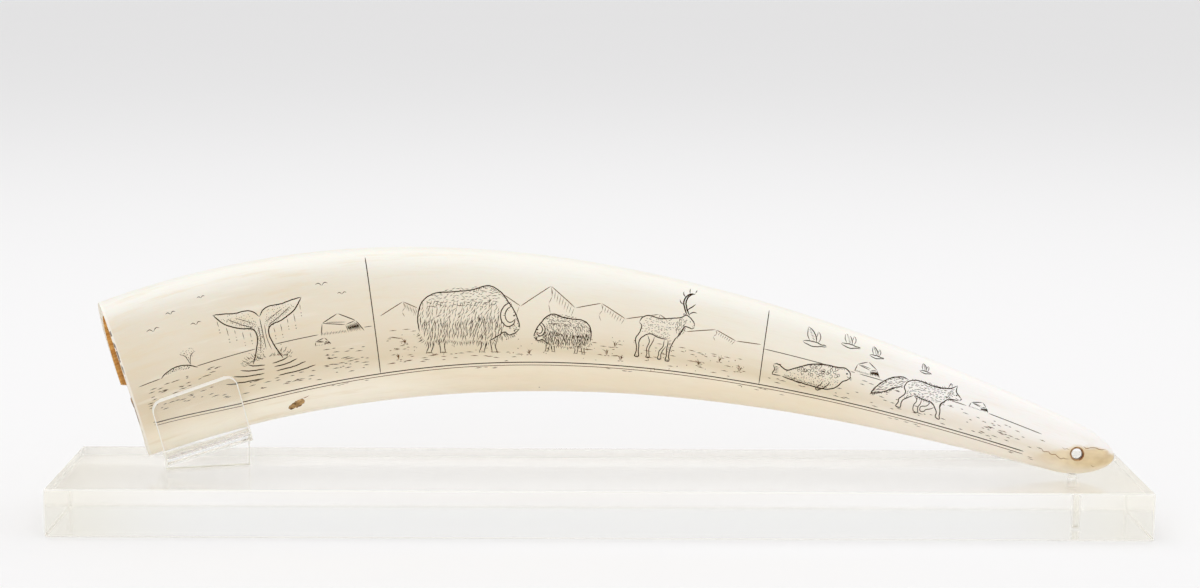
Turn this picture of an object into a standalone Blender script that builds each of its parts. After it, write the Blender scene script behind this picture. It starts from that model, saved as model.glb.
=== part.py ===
"""Incised walrus tusk on a clear acrylic stand, in metres, +Z up.

The origin is the middle of the base block's underside. +X runs along the block from the tusk's
root to its tip, and +Y runs away from the viewer. The tusk is one hollow solid: a centreline
that bends in two planes carries an oval section, and its root holds the open pulp cavity. It
rests in a bent trough near the root and on a short peg under the tip, and its tilt is worked
out from the heights of those two supports.
"""

import math

import bmesh
import bpy
import numpy as np
from mathutils import Matrix, Vector

# Base block: clear cast acrylic, one inch thick
BLOCK_DEPTH = 0.1016
BLOCK_HEIGHT = 0.0254
BLOCK_EDGE = 0.0006
ROOT_MARGIN = 0.0198  # block that shows beyond the tusk's root
TIP_MARGIN = 0.0158  # block that shows beyond the tusk's tip
ROOT_FROM_FRONT = 0.0448  # root centre behind the block's front face

# Tusk: centreline
TUSK_LENGTH = 0.5517
PATH_START = -0.06  # the centreline's path begins this share before the root, for the slanting cut
RISE_TURN = math.radians(34.8)  # how far the centreline turns down from root to tip
RISE_EASE = 1.84  # above 1, the root half bends more than the tip half
SWING_ROOT = math.radians(16.5)  # plan heading at the root, away from the viewer
SWING_TIP = math.radians(-19.5)

# Tusk: section
ROOT_HEIGHT = 0.0869
ROOT_THICKNESS = 0.0452
TIP_HEIGHT = 0.0241
TIP_THICKNESS = 0.0145
TAPER_EASE = 1.83  # above 1, the root half stays full and the tip half narrows
SWELL = 0.03  # share by which the root half is fuller and the tip half leaner
TIP_ROUND = 0.028  # length of the rounded end
TIP_LIFT = 0.0025  # the end rounds off more from below
SECTION_POWER = 2.15  # 2 is an ellipse, more is squarer
LEAN_ROOT = math.radians(8)  # the section's top leans away from the viewer
LEAN_TIP = math.radians(16)

# Tusk: sawn and broken root, cavity and drilled tip
ROOT_CUT_SWING = math.radians(4.5)  # the saw cut isn't square to the centreline
ROOT_CUT_TILT = math.radians(1.8)
ROOT_WALL = 0.0075
RIM_FADE = 6  # power that makes the rows behind the rim square again
CAVITY_DEPTH = 0.150
CAVITY_BLUNTNESS = 1.5  # power of the depth by which the cavity closes
CAVITY_RIM_FADE = 2
BREAK_DEPTH = 0.009  # broken rim, on the lower half of the far side
BREAK_RAGGED = 0.12
BREAK_WAVES = 9
BREAK_TOP = -0.10  # sines of the angle round the section, up from its middle
TOOTH_TOP = -0.24
TOOTH_FOOT = -0.45
BREAK_FOOT = -0.08  # cosine of the angle where the break ends, near the foot of the rim
TOOTH_DEPTH = 0.0025  # splinter of rim left standing in the break
HOLE_RADIUS = 0.0029
HOLE_WORN_RADIUS = 0.00385
HOLE_WORN_DEPTH = 0.0011
HOLE_FROM_TIP = 0.0193
HOLE_DROP = 0.0018  # hole's axis below the section's centre
HOLE_SWING = math.radians(10)
HOLE_RISE = math.radians(10.5)

# Stand: 3/16 inch sheet, bent hot, on an upright plate of the same sheet, and a rod
SHEET = 0.00476
CRADLE_LENGTH = 0.047
CRADLE_STATION = 0.0325  # middle of the cradle, along the tusk from its root
CRADLE_WALL = 0.0388  # lip over the cradle's underside
CRADLE_LIP_SLANT = math.radians(2.9)  # both lips stand higher at the tip's end
CRADLE_FLARE = math.radians(5)
CRADLE_BEND_RADIUS = 0.0032
CRADLE_CORNER_RADIUS = 0.006
CRADLE_CLEARANCE = 0.0012  # the bent tusk touches the straight cradle only at its ends
SEAT_HEIGHT = 0.0171  # tusk's underside over the block, at the middle of the cradle
FOOT_FORWARD = 0.0045  # upright plate in front of the cradle's middle
PEG_RADIUS = 0.0022
PEG_STAND_OUT = 0.0024
PEG_FROM_TIP = 0.0178
PEG_BORE_FLOOR = 0.0008  # left of the block under the bore
PEG_EDGE = 0.0003
PEG_BORE_CLEARANCE = 0.0003
GAP = 0.0003  # between pieces that touch

# Facets
SECTION_SIDES = 48
SHAFT_ROWS = 44
TIP_ROWS = 8
CAVITY_ROWS = 12
ROUND_SIDES = 24
CORNER_STEPS = 6
PATH_STEPS = 600
EXTENT_ROWS = 300
PEG_SAMPLES = 9

# Search for the pitch
STEEPEST_PITCH = math.radians(15)
HALVINGS = 40


def signed_power(value, exponent):
    return np.sign(value) * np.abs(value) ** exponent


def unit(vectors):
    return vectors / np.linalg.norm(vectors, axis=-1, keepdims=True)


def into_rounded_end(share):
    """0 along the shaft, rising to 1 at the very tip."""
    return np.clip((share * TUSK_LENGTH - TUSK_LENGTH + TIP_ROUND) / TIP_ROUND, 0, 1)


def tusk_sizes(share):
    """Half height and half thickness of the section, at a share of the length from root to tip.

    Both fall from root to tip with a power of the share, swell by a full sine wave, and close
    as a quarter ellipse over the rounded end.
    """
    inside = np.clip(share, 0, 1)
    fall = inside**TAPER_EASE
    swell = 1 + SWELL * np.sin(2 * math.pi * inside)
    closing = np.sqrt(1 - into_rounded_end(share) ** 2)
    height = (ROOT_HEIGHT + (TIP_HEIGHT - ROOT_HEIGHT) * fall) * swell * closing / 2
    thickness = (ROOT_THICKNESS + (TIP_THICKNESS - ROOT_THICKNESS) * fall) * swell * closing / 2
    return height, thickness


class Centreline:
    """The tusk's centreline for one pitch, with the section's axes at any station."""

    def __init__(self, pitch):
        self.pitch = pitch
        self.shares = np.linspace(PATH_START, 1, PATH_STEPS)
        tangents = self.tangent(self.shares)
        steps = np.diff(self.shares)[:, None] * TUSK_LENGTH
        path = np.vstack([np.zeros(3), np.cumsum((tangents[1:] + tangents[:-1]) / 2 * steps, axis=0)])
        start = [np.interp(0, self.shares, path[:, axis]) for axis in range(3)]
        self.path = path - start

    def tangent(self, share):
        """Rise eases off towards the tip, and swing changes evenly with the length."""
        inside = np.clip(share, 0, 1)
        rise = self.pitch + RISE_TURN * ((1 - inside) ** RISE_EASE - 0.5)
        swing = SWING_ROOT + (SWING_TIP - SWING_ROOT) * inside
        level = np.cos(rise)
        return np.stack([level * np.cos(swing), level * np.sin(swing), np.sin(rise)], axis=-1)

    def centre(self, share):
        """The middle of the section, lifted over the rounded end."""
        on_path = [np.interp(share, self.shares, self.path[:, axis]) for axis in range(3)]
        lift = TIP_LIFT * into_rounded_end(share) ** 2
        return np.stack(on_path, axis=-1) + lift[..., None] * self.section_axes(share)[1]

    def level_axes(self, share):
        """Section axes without lean: towards the viewer and level, and up."""
        tangent = self.tangent(share)
        side = unit(np.cross(tangent, [0.0, 0.0, 1.0]))
        return side, np.cross(side, tangent)

    def section_axes(self, share):
        side, up = self.level_axes(share)
        lean = (LEAN_ROOT + (LEAN_TIP - LEAN_ROOT) * np.clip(share, 0, 1))[..., None]
        leaned_side = side * np.cos(lean) + up * np.sin(lean)
        return leaned_side, up * np.cos(lean) - side * np.sin(lean)

    def surface(self, share, angle, inset=0.0, shrink=1.0):
        """Points on the skin, or inset from it: the section's superellipse at each share."""
        height, thickness = tusk_sizes(share)
        side, up = self.section_axes(share)
        across = signed_power(np.cos(angle), 2 / SECTION_POWER) * (thickness - inset) * shrink
        along = signed_power(np.sin(angle), 2 / SECTION_POWER) * (height - inset) * shrink
        return self.centre(share) + across[..., None] * side + along[..., None] * up

    def reach(self, share, direction):
        """How far the section reaches in a direction, and the offset of the point that does."""
        height, thickness = tusk_sizes(share)
        side, up = self.section_axes(share)
        along_side = side @ np.asarray(direction)
        along_up = up @ np.asarray(direction)
        dual = SECTION_POWER / (SECTION_POWER - 1)
        reach = (np.abs(thickness * along_side) ** dual + np.abs(height * along_up) ** dual) ** (1 / dual)
        across = thickness * signed_power(thickness * along_side / reach, dual - 1)
        upward = height * signed_power(height * along_up / reach, dual - 1)
        return reach, across[..., None] * side + upward[..., None] * up


def underside(line, share):
    """Height of the section's lowest point, and that point's offset from the centre."""
    reach, offset = line.reach(share, (0, 0, -1))
    return line.centre(share)[..., 2] - reach, offset


def over_peg(line):
    """The tusk's lowest point above the peg, with its height the lowest over the peg's width."""
    across = np.linspace(-PEG_RADIUS, PEG_RADIUS, PEG_SAMPLES)
    share = 1 - (PEG_FROM_TIP + across) / TUSK_LENGTH
    heights, offsets = underside(line, share)
    middle = PEG_SAMPLES // 2
    point = line.centre(share[middle]) + offsets[middle]
    point[2] = heights.min()
    return point


def rest_on_supports():
    """The pitch at which the tusk lies on the cradle and the peg together, found by halving."""
    seat = np.array(CRADLE_STATION / TUSK_LENGTH)
    wanted = SEAT_HEIGHT - PEG_STAND_OUT
    low, high = -STEEPEST_PITCH, STEEPEST_PITCH
    for _ in range(HALVINGS):
        pitch = (low + high) / 2
        line = Centreline(pitch)
        if underside(line, seat)[0] - over_peg(line)[2] > wanted:
            low = pitch
        else:
            high = pitch
    return line, over_peg(line)


def root_edge(angle):
    """Where the rim starts along the tusk: the slanting saw cut, and the stepped break.

    The break takes the far side from just below its middle to its foot, in two bites with a
    splinter of rim between them.
    """
    across = np.cos(angle)
    along = np.sin(angle)
    cut = across * ROOT_THICKNESS / 2 * math.tan(ROOT_CUT_SWING)
    cut = cut + along * ROOT_HEIGHT / 2 * math.tan(ROOT_CUT_TILT)
    broken = (across < BREAK_FOOT) & (along < BREAK_TOP)
    tooth = broken & (along <= TOOTH_TOP) & (along > TOOTH_FOOT)
    ragged = 1 + BREAK_RAGGED * np.sin(BREAK_WAVES * angle)
    return cut + ragged * (BREAK_DEPTH * (broken & ~tooth) + TOOTH_DEPTH * tooth)


def closed_grid_faces(first, rows, sides, flip=False):
    """Quads between rows of a tube whose vertices are numbered row by row from first."""
    row, side = np.meshgrid(np.arange(rows - 1), np.arange(sides), indexing="ij")
    after = (side + 1) % sides
    corners = [row * sides + side, row * sides + after, (row + 1) * sides + after, (row + 1) * sides + side]
    quads = first + np.stack(corners, axis=-1).reshape(-1, 4)
    return (quads[:, ::-1] if flip else quads).tolist()


def ring_to_point(ring, point, flip=False):
    return [(b, a, point) if flip else (a, b, point) for a, b in zip(ring, ring[1:] + ring[:1])]


def new_object(name, vertices, faces, material=None):
    mesh = bpy.data.meshes.new(name)
    mesh.from_pydata([tuple(vertex) for vertex in vertices], [], faces)
    body = bmesh.new()
    body.from_mesh(mesh)
    bmesh.ops.recalc_face_normals(body, faces=body.faces[:])
    body.to_mesh(mesh)
    body.free()
    made = bpy.data.objects.new(name, mesh)
    bpy.context.scene.collection.objects.link(made)
    if material:
        mesh.materials.append(material)
    return made


def loft(name, rings, material=None):
    """A solid through rings of equal count, capped flat at both ends."""
    rows, sides = rings.shape[:2]
    faces = closed_grid_faces(0, rows, sides)
    faces.append(list(range(sides))[::-1])
    faces.append([(rows - 1) * sides + side for side in range(sides)])
    return new_object(name, rings.reshape(-1, 3), faces, material)


def turned(name, radii, heights, material=None):
    """A solid turned about its own Z axis, from radii at heights."""
    angle = np.linspace(0, 2 * math.pi, ROUND_SIDES, endpoint=False)
    circle = np.stack([np.cos(angle), np.sin(angle), np.zeros(ROUND_SIDES)], axis=-1)
    rings = np.asarray(radii)[:, None, None] * circle + np.asarray(heights)[:, None, None] * [0, 0, 1]
    return loft(name, rings, material)


def shade_round(made, angle=40):
    made.data.shade_smooth()
    made.data.set_sharp_from_angle(angle=math.radians(angle))


def cut_away(body, cutter):
    cutter.hide_render = True
    cutter.display_type = "WIRE"
    cut = body.modifiers.new(cutter.name, "BOOLEAN")
    cut.operation = "DIFFERENCE"
    cut.solver = "EXACT"
    cut.object = cutter


def material(name, colour, roughness, clear=0.0):
    made = bpy.data.materials.new(name)
    made.use_nodes = True
    shader = made.node_tree.nodes["Principled BSDF"]
    shader.inputs["Base Color"].default_value = (*colour, 1)
    shader.inputs["Roughness"].default_value = roughness
    shader.inputs["Metallic"].default_value = 0
    shader.inputs["Transmission Weight"].default_value = clear
    shader.inputs["IOR"].default_value = 1.49 if clear else 1.54
    return made


def make_tusk(line):
    """Outer skin from rim to tip, the rim's cut face, and the cavity as a blunt cone inside."""
    angle = np.linspace(0, 2 * math.pi, SECTION_SIDES, endpoint=False)
    edge = root_edge(angle) / TUSK_LENGTH
    shaft_end = 1 - TIP_ROUND / TUSK_LENGTH
    shaft = np.linspace(0, shaft_end, SHAFT_ROWS)
    end = shaft_end + (1 - shaft_end) * np.sin(np.linspace(0, math.pi / 2, TIP_ROWS + 1)[1:-1])
    rows = np.concatenate([shaft, end])
    share = rows[:, None] + edge * (1 - rows[:, None]) ** RIM_FADE
    skin = line.surface(share, angle)
    depth = np.linspace(0, 1, CAVITY_ROWS + 1)[:-1, None]
    inner_share = edge * (1 - depth) ** CAVITY_RIM_FADE + depth * CAVITY_DEPTH / TUSK_LENGTH
    closing = np.sqrt(1 - depth**CAVITY_BLUNTNESS)
    hollow = line.surface(inner_share, angle, inset=ROOT_WALL, shrink=closing)
    tip = line.centre(np.array(1.0))
    cavity_end = line.centre(np.array(CAVITY_DEPTH / TUSK_LENGTH))
    vertices = np.vstack([skin.reshape(-1, 3), hollow.reshape(-1, 3), tip, cavity_end])
    skin_rows, hollow_rows = len(skin), len(hollow)
    first_hollow = skin_rows * SECTION_SIDES
    tip_point = first_hollow + hollow_rows * SECTION_SIDES
    faces = closed_grid_faces(0, skin_rows, SECTION_SIDES)
    faces += closed_grid_faces(first_hollow, hollow_rows, SECTION_SIDES, flip=True)
    sides = range(SECTION_SIDES)
    following = [(side + 1) % SECTION_SIDES for side in sides]
    faces += [(a, first_hollow + a, first_hollow + b, b) for a, b in zip(sides, following)]
    faces += ring_to_point([first_hollow - SECTION_SIDES + side for side in sides], tip_point)
    faces += ring_to_point([tip_point - SECTION_SIDES + side for side in sides], tip_point + 1, flip=True)
    ivory = material("ivory", (0.83, 0.76, 0.62), 0.38)
    tusk = new_object("tusk", vertices, faces, ivory)
    shade_round(tusk, 50)
    cut_away(tusk, tip_hole_cutter(line))
    return tusk


def tip_hole_cutter(line):
    """A drill hole through the flat of the tip, with a worn mouth at each side."""
    share = np.array(1 - HOLE_FROM_TIP / TUSK_LENGTH)
    _, up = line.section_axes(share)
    centre = line.centre(share) - HOLE_DROP * up
    direction = Vector((-math.sin(HOLE_SWING), -math.cos(HOLE_SWING), math.tan(HOLE_RISE)))
    surface = tusk_sizes(share)[1] / math.cos(HOLE_RISE)
    mouth = surface - HOLE_WORN_DEPTH
    widening = (HOLE_WORN_RADIUS - HOLE_RADIUS) / HOLE_WORN_DEPTH
    beyond = ROOT_THICKNESS
    wide = HOLE_RADIUS + widening * (beyond - mouth)
    cutter = turned(
        "tip_hole", [wide, HOLE_RADIUS, HOLE_RADIUS, wide], [-beyond, -mouth, mouth, beyond]
    )
    turn = direction.to_track_quat("Z", "Y").to_matrix().to_4x4()
    cutter.matrix_world = Matrix.Translation(centre) @ turn
    return cutter


def make_block(length, peg_foot):
    """The base block, its edges eased, with the blind bore for the peg."""
    clear = material("block_acrylic", (0.93, 0.94, 0.92), 0.06, clear=1.0)
    mesh = bpy.data.meshes.new("base_block")
    body = bmesh.new()
    bmesh.ops.create_cube(body, size=1)
    bmesh.ops.scale(body, verts=body.verts, vec=(length, BLOCK_DEPTH, BLOCK_HEIGHT))
    body.to_mesh(mesh)
    body.free()
    mesh.materials.append(clear)
    block = bpy.data.objects.new("base_block", mesh)
    bpy.context.scene.collection.objects.link(block)
    block.location = (0, 0, BLOCK_HEIGHT / 2)
    eased = block.modifiers.new("eased_edges", "BEVEL")
    eased.width = BLOCK_EDGE
    eased.segments = 2
    bore_radius = PEG_RADIUS + PEG_BORE_CLEARANCE
    bore = turned("peg_bore", [bore_radius, bore_radius], [PEG_BORE_FLOOR - BLOCK_HEIGHT, BLOCK_HEIGHT])
    bore.location = (peg_foot.x, peg_foot.y, BLOCK_HEIGHT)
    cut_away(block, bore)
    return block


def make_peg(peg_foot):
    """The rod that stands in the bore and carries the tip."""
    clear = material("peg_acrylic", (0.9, 0.91, 0.89), 0.08, clear=1.0)
    bottom = PEG_BORE_FLOOR + GAP - BLOCK_HEIGHT
    top = PEG_STAND_OUT - GAP
    inner = PEG_RADIUS - PEG_EDGE
    radii = [inner, PEG_RADIUS, PEG_RADIUS, inner]
    peg = turned("tip_peg", radii, [bottom, bottom + PEG_EDGE, top - PEG_EDGE, top], clear)
    peg.location = (peg_foot.x, peg_foot.y, BLOCK_HEIGHT)
    shade_round(peg)
    return peg


def cradle_half(wall, floor):
    """One wall and its bend, from the lip down: points, outward normals and depth below the lip.

    The wall leans outward by the flare, at a distance from the section's centre. Coordinates are
    outward from that centre, and up.
    """
    flare = CRADLE_FLARE

    def at_height(height):
        return (wall + height * math.sin(flare)) / math.cos(flare)

    lip = floor - SHEET + CRADLE_WALL
    down = CRADLE_CORNER_RADIUS * (1 - np.cos(np.linspace(0, math.pi / 2, CORNER_STEPS + 1)))
    edge = np.stack([at_height(lip - down), lip - down], axis=-1)
    edge_normals = np.tile([math.cos(flare), -math.sin(flare)], (len(edge), 1))
    low = floor + CRADLE_BEND_RADIUS
    centre = np.array([at_height(low) - CRADLE_BEND_RADIUS / math.cos(flare), low])
    turn = np.linspace(-flare, -math.pi / 2, CORNER_STEPS + 1)
    bend_normals = np.stack([np.cos(turn), np.sin(turn)], axis=-1)
    points = np.vstack([edge, centre + CRADLE_BEND_RADIUS * bend_normals])
    normals = np.vstack([edge_normals, bend_normals])
    below = np.concatenate([down, np.full(len(turn), CRADLE_WALL)])
    return points, normals, below


def cradle_section(line, share):
    """Inner face of the bent sheet: points, outward normals and distance below the lips.

    The floor and both walls stand off the tusk's section by the clearance. Coordinates are
    towards the viewer and up, from the section's centre.
    """
    side, up = line.level_axes(share)

    def reach(across, upward):
        distance, _ = line.reach(share, across * side + upward * up)
        return float(distance) + CRADLE_CLEARANCE

    floor = -reach(0, -1)
    slope = math.sin(CRADLE_FLARE)
    near, far = (cradle_half(reach(out * math.cos(CRADLE_FLARE), -slope), floor) for out in (1, -1))
    mirror = np.array([-1, 1])
    points = np.vstack([near[0], far[0][::-1] * mirror])
    normals = np.vstack([near[1], far[1][::-1] * mirror])
    below = np.concatenate([near[2], far[2][::-1]])
    return points, normals, below, floor


def make_cradle(line, root):
    """The bent trough, its lip corners rounded, and the plate that stands under it."""
    share = np.array(CRADLE_STATION / TUSK_LENGTH)
    inner, normals, below, floor = cradle_section(line, share)
    outer = inner + SHEET * normals
    radius = CRADLE_CORNER_RADIUS
    from_corner = np.clip(radius - below, 0, radius)
    half = CRADLE_LENGTH / 2 - radius + np.sqrt(radius**2 - from_corner**2)

    def edge(section, reach):
        return np.stack([section[:, 0], reach, section[:, 1]], axis=-1)

    rings = np.stack([edge(inner, -half), edge(inner, half), edge(outer, half), edge(outer, -half)], axis=1)
    near_lip = (below < CRADLE_WALL)[:, None]
    rings[..., 2] += near_lip * rings[..., 1] * math.tan(CRADLE_LIP_SLANT)
    clear = material("cradle_acrylic", (0.92, 0.93, 0.91), 0.07, clear=1.0)
    cradle = loft("cradle", rings, clear)
    side, up = (Vector(axis) for axis in line.level_axes(share))
    along = Vector(line.tangent(share))
    place = Matrix((side, along, up)).transposed().to_4x4()
    place.translation = root + Vector(line.centre(share))
    cradle.matrix_world = place
    shade_round(cradle, 30)
    return cradle, make_foot(place, floor - SHEET)


def make_foot(place, under_floor):
    """An upright plate from the block to the cradle's underside, as long as the cradle."""
    ends = []
    for reach in (-CRADLE_LENGTH / 2, CRADLE_LENGTH / 2):
        top = place @ Vector((FOOT_FORWARD, reach, under_floor))
        ends.append(top - Vector((0, 0, GAP)))
    side = place.to_3x3() @ Vector((1, 0, 0))
    bottom = BLOCK_HEIGHT + GAP
    rings = []
    for offset in (-SHEET / 2, SHEET / 2):
        upper = [point + offset * side for point in ends]
        lower = [Vector((point.x, point.y, bottom)) for point in upper]
        rings.append([*upper, lower[1], lower[0]])
    clear = material("foot_acrylic", (0.91, 0.93, 0.88), 0.07, clear=1.0)
    return loft("cradle_foot", np.array(rings), clear)


def remove_everything():
    for old in list(bpy.data.objects):
        bpy.data.objects.remove(old)


def main():
    remove_everything()
    line, low_point = rest_on_supports()
    angle = np.linspace(0, 2 * math.pi, SECTION_SIDES, endpoint=False)
    every_share = np.linspace(0, 1, EXTENT_ROWS)[:, None] + 0 * angle
    every_share[0] = root_edge(angle) / TUSK_LENGTH
    along = line.surface(every_share, angle)[..., 0]
    block_length = along.max() - along.min() + ROOT_MARGIN + TIP_MARGIN
    root = Vector((
        -block_length / 2 + ROOT_MARGIN - along.min(),
        -BLOCK_DEPTH / 2 + ROOT_FROM_FRONT,
        BLOCK_HEIGHT + PEG_STAND_OUT - low_point[2],
    ))
    peg_foot = root + Vector(low_point)
    tusk = make_tusk(line)
    stand = bpy.data.objects.new("tusk_root", None)
    bpy.context.scene.collection.objects.link(stand)
    stand.location = root
    tusk.parent = stand
    bpy.data.objects["tip_hole"].parent = stand
    make_cradle(line, root)
    make_block(block_length, peg_foot)
    make_peg(peg_foot)


main()
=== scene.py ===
"""Looks for an incised walrus tusk that lies on a clear acrylic stand.

The tusk is one mesh. Each of its broad sides is triangulated round every engraved stroke, so each
line is a real V-shaped groove with ink in it. The narrow sides, the tip, the sawn root and the
pulp cavity are plain grids that share their border vertices with the broad sides.
"""

import math

import bpy
import numpy as np
from mathutils import Matrix, Vector
from mathutils.geometry import delaunay_2d_cdt


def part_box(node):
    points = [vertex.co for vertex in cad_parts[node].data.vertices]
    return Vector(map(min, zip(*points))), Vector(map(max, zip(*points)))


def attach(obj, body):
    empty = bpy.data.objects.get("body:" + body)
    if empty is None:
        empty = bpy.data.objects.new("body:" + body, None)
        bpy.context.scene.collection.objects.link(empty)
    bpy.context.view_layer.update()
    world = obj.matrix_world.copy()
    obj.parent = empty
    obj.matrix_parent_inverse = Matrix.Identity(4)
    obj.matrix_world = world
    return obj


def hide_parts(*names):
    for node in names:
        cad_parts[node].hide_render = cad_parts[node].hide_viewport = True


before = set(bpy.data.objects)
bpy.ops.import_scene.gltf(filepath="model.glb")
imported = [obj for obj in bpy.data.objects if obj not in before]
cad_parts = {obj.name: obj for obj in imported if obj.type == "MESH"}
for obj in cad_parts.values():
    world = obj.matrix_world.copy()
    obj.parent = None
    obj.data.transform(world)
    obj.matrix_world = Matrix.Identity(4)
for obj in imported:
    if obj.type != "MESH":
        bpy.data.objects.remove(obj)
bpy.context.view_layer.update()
MM = 0.001

# Tusk, as in the solid: centreline and section
TUSK_LENGTH = 0.5517
PITCH = math.radians(0.863065)
TUSK_ROOT = np.array((-0.256834, -0.006, 0.0753804))
PATH_START = -0.06
RISE_TURN = math.radians(34.8)
RISE_EASE = 1.84
SWING_ROOT = math.radians(16.5)
SWING_TIP = math.radians(-19.5)
ROOT_HEIGHT = 0.0869
ROOT_THICKNESS = 0.0452
TIP_HEIGHT = 0.0241
TIP_THICKNESS = 0.0145
TAPER_EASE = 1.83
SWELL = 0.03
TIP_ROUND = 0.028
TIP_LIFT = 0.0025
SECTION_POWER = 2.15
LEAN_ROOT = math.radians(8)
LEAN_TIP = math.radians(16)

# Tusk, as in the solid: sawn and broken root, cavity, drilled tip
ROOT_CUT_SWING = math.radians(4.5)  # of the far half alone; the solid's cut slants right across
ROOT_CUT_TILT = math.radians(2.2)  # a little more than the solid's
ROOT_WALL = 0.0075
RIM_FADE = 6
CAVITY_DEPTH = 0.150
CAVITY_BLUNTNESS = 1.5
CAVITY_RIM_FADE = 2
BREAK_DEPTH = 0.009
BREAK_RAGGED = 0.12
BREAK_WAVES = 9
BREAK_TOP = -0.10
TOOTH_TOP = -0.24
TOOTH_FOOT = -0.45
BREAK_FOOT = -0.08
TOOTH_DEPTH = 0.0025
HOLE_RADIUS = 0.0029
HOLE_WORN_RADIUS = 0.00385
HOLE_WORN_DEPTH = 0.0011
HOLE_FROM_TIP = 0.0193
HOLE_DROP = 0.0018
HOLE_SWING = math.radians(10)
HOLE_RISE = math.radians(10.5)

# Tusk skin
POLISH_WAVE = 0.00009
POLISH_FLAT = 0.00011
POLISH_FADE = 0.7  # share of the flats that is gone at the tip
BROKEN_ROUGHNESS = 0.0009
SAWN_ROUGHNESS = 0.00006
ROUGHNESS_SPAN = 1.25  # walls that the half wave of the rim's roughness would cross
GROWTH_RIPPLE = 0.00025  # of the cavity's wall

# Stand, as in the solid
BLOCK_EDGE = 0.0006
BLOCK_HEIGHT = 0.0254
SHEET = 0.00476
CRADLE_LENGTH = 0.047
CRADLE_STATION = 0.0325
CRADLE_WALL = 0.0388
CRADLE_LIP_SLANT = math.radians(2.9)
CRADLE_FLARE = math.radians(5)
CRADLE_BEND_RADIUS = 0.0032
CRADLE_CORNER_RADIUS = 0.006
CRADLE_CLEARANCE = 0.0012
FOOT_FORWARD = 0.0045
PEG_EDGE = 0.0003
PEG_BORE_FLOOR = 0.0008
PEG_BORE_CLEARANCE = 0.0003
GAP = 0.0003
SHEET_EDGE = 0.0005
BEND_STEPS = 10
CRADLE_ROWS = 9
ROUND_SIDES = 64
EASED_STEPS = 3
SHARPEST_KEPT = math.radians(40)  # corners that turn by more are eased

# Tusk mesh
SIDE_REACH = 0.93  # share of the half height where a broad side meets a narrow one
SIDE_STEPS = 30  # around a broad side
NARROW_STEPS = 13
ROW_LENGTH = 0.003
CAP_START = 0.5487  # where the rounded end becomes a plain grid
CAP_ROWS = 8
RIM_RINGS = 6
CAVITY_ROWS = 46
HOLE_SIDES = 40
HOLE_ROWS = 14
HOLE_ROW_SHIFT = 0.13  # draws the hole's rows towards its mouths
MOUTH_STEPS = 12  # Newton's steps to the hole's mouth
MOUTH_NUDGE = 0.00002  # measures the skin's slopes for them
INSIDE_BORDER = 1  # the triangulation's way of keeping what its edges enclose
SAME_POINT = 1e-4  # millimetres


def signed_power(value, exponent):
    return np.sign(value) * np.abs(value) ** exponent


def unit(vectors):
    return vectors / np.linalg.norm(vectors, axis=-1, keepdims=True)


def together(*columns):
    """Arrays of one shape as the columns of a new last axis."""
    return np.stack(columns, axis=-1)


def circle(turn):
    """Unit steps in the directions of some angles."""
    return together(np.cos(turn), np.sin(turn))


def even_turns(count):
    return np.linspace(0, 2 * math.pi, count, endpoint=False)


def run_along(curve):
    """How far along a curve each of its points lies."""
    return np.concatenate([[0], np.cumsum(np.linalg.norm(np.diff(curve, axis=0), axis=1))])


def ripple(*phases):
    """An irregular wave between about -1 and 1: sines of phases that never line up."""
    total = sum(np.sin(phase + index * 1.7) for index, phase in enumerate(phases))
    return total / len(phases)


def into_rounded_end(u):
    """0 along the shaft, rising to 1 at the very tip."""
    return np.clip((u - TUSK_LENGTH + TIP_ROUND) / TIP_ROUND, 0, 1)


def section_sizes(u):
    """Half height and half thickness at u metres from the root.

    Both fall with a power of the share of the length, swell by a full sine wave, and close as a
    quarter ellipse over the rounded end.
    """
    share = np.clip(u / TUSK_LENGTH, 0, 1)
    fall = share**TAPER_EASE
    full = (1 + SWELL * np.sin(2 * math.pi * share)) * np.sqrt(1 - into_rounded_end(u) ** 2) / 2
    height = (ROOT_HEIGHT + (TIP_HEIGHT - ROOT_HEIGHT) * fall) * full
    return height, (ROOT_THICKNESS + (TIP_THICKNESS - ROOT_THICKNESS) * fall) * full


def tangent(u):
    """The centreline's direction: its rise eases off, and its swing changes evenly."""
    share = np.clip(u / TUSK_LENGTH, 0, 1)
    rise = PITCH + RISE_TURN * ((1 - share) ** RISE_EASE - 0.5)
    swing = SWING_ROOT + (SWING_TIP - SWING_ROOT) * share
    level = np.cos(rise)
    return together(level * np.cos(swing), level * np.sin(swing), np.sin(rise))


def centreline_table(steps=600):
    """Lengths and points of the centreline: the running sum of its tangents."""
    lengths = np.linspace(PATH_START, 1, steps) * TUSK_LENGTH
    along = tangent(lengths)
    runs = (along[1:] + along[:-1]) / 2 * np.diff(lengths)[:, None]
    points = np.vstack([np.zeros(3), np.cumsum(runs, axis=0)])
    start = [np.interp(0, lengths, points[:, axis]) for axis in range(3)]
    return lengths, points - start + TUSK_ROOT


PATH_LENGTHS, PATH_POINTS = centreline_table()


def level_axes(u):
    """Section axes without lean: towards the viewer and level, and up."""
    along = tangent(u)
    side = unit(np.cross(along, [0.0, 0.0, 1.0]))
    return side, np.cross(side, along)


def section_axes(u):
    side, up = level_axes(u)
    lean = (LEAN_ROOT + (LEAN_TIP - LEAN_ROOT) * np.clip(u / TUSK_LENGTH, 0, 1))[..., None]
    return side * np.cos(lean) + up * np.sin(lean), up * np.cos(lean) - side * np.sin(lean)


def middle(u):
    """The middle of the section, lifted over the rounded end."""
    on_path = [np.interp(u, PATH_LENGTHS, PATH_POINTS[:, axis]) for axis in range(3)]
    lift = TIP_LIFT * into_rounded_end(u) ** 2
    return together(*on_path) + lift[..., None] * section_axes(u)[1]


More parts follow.
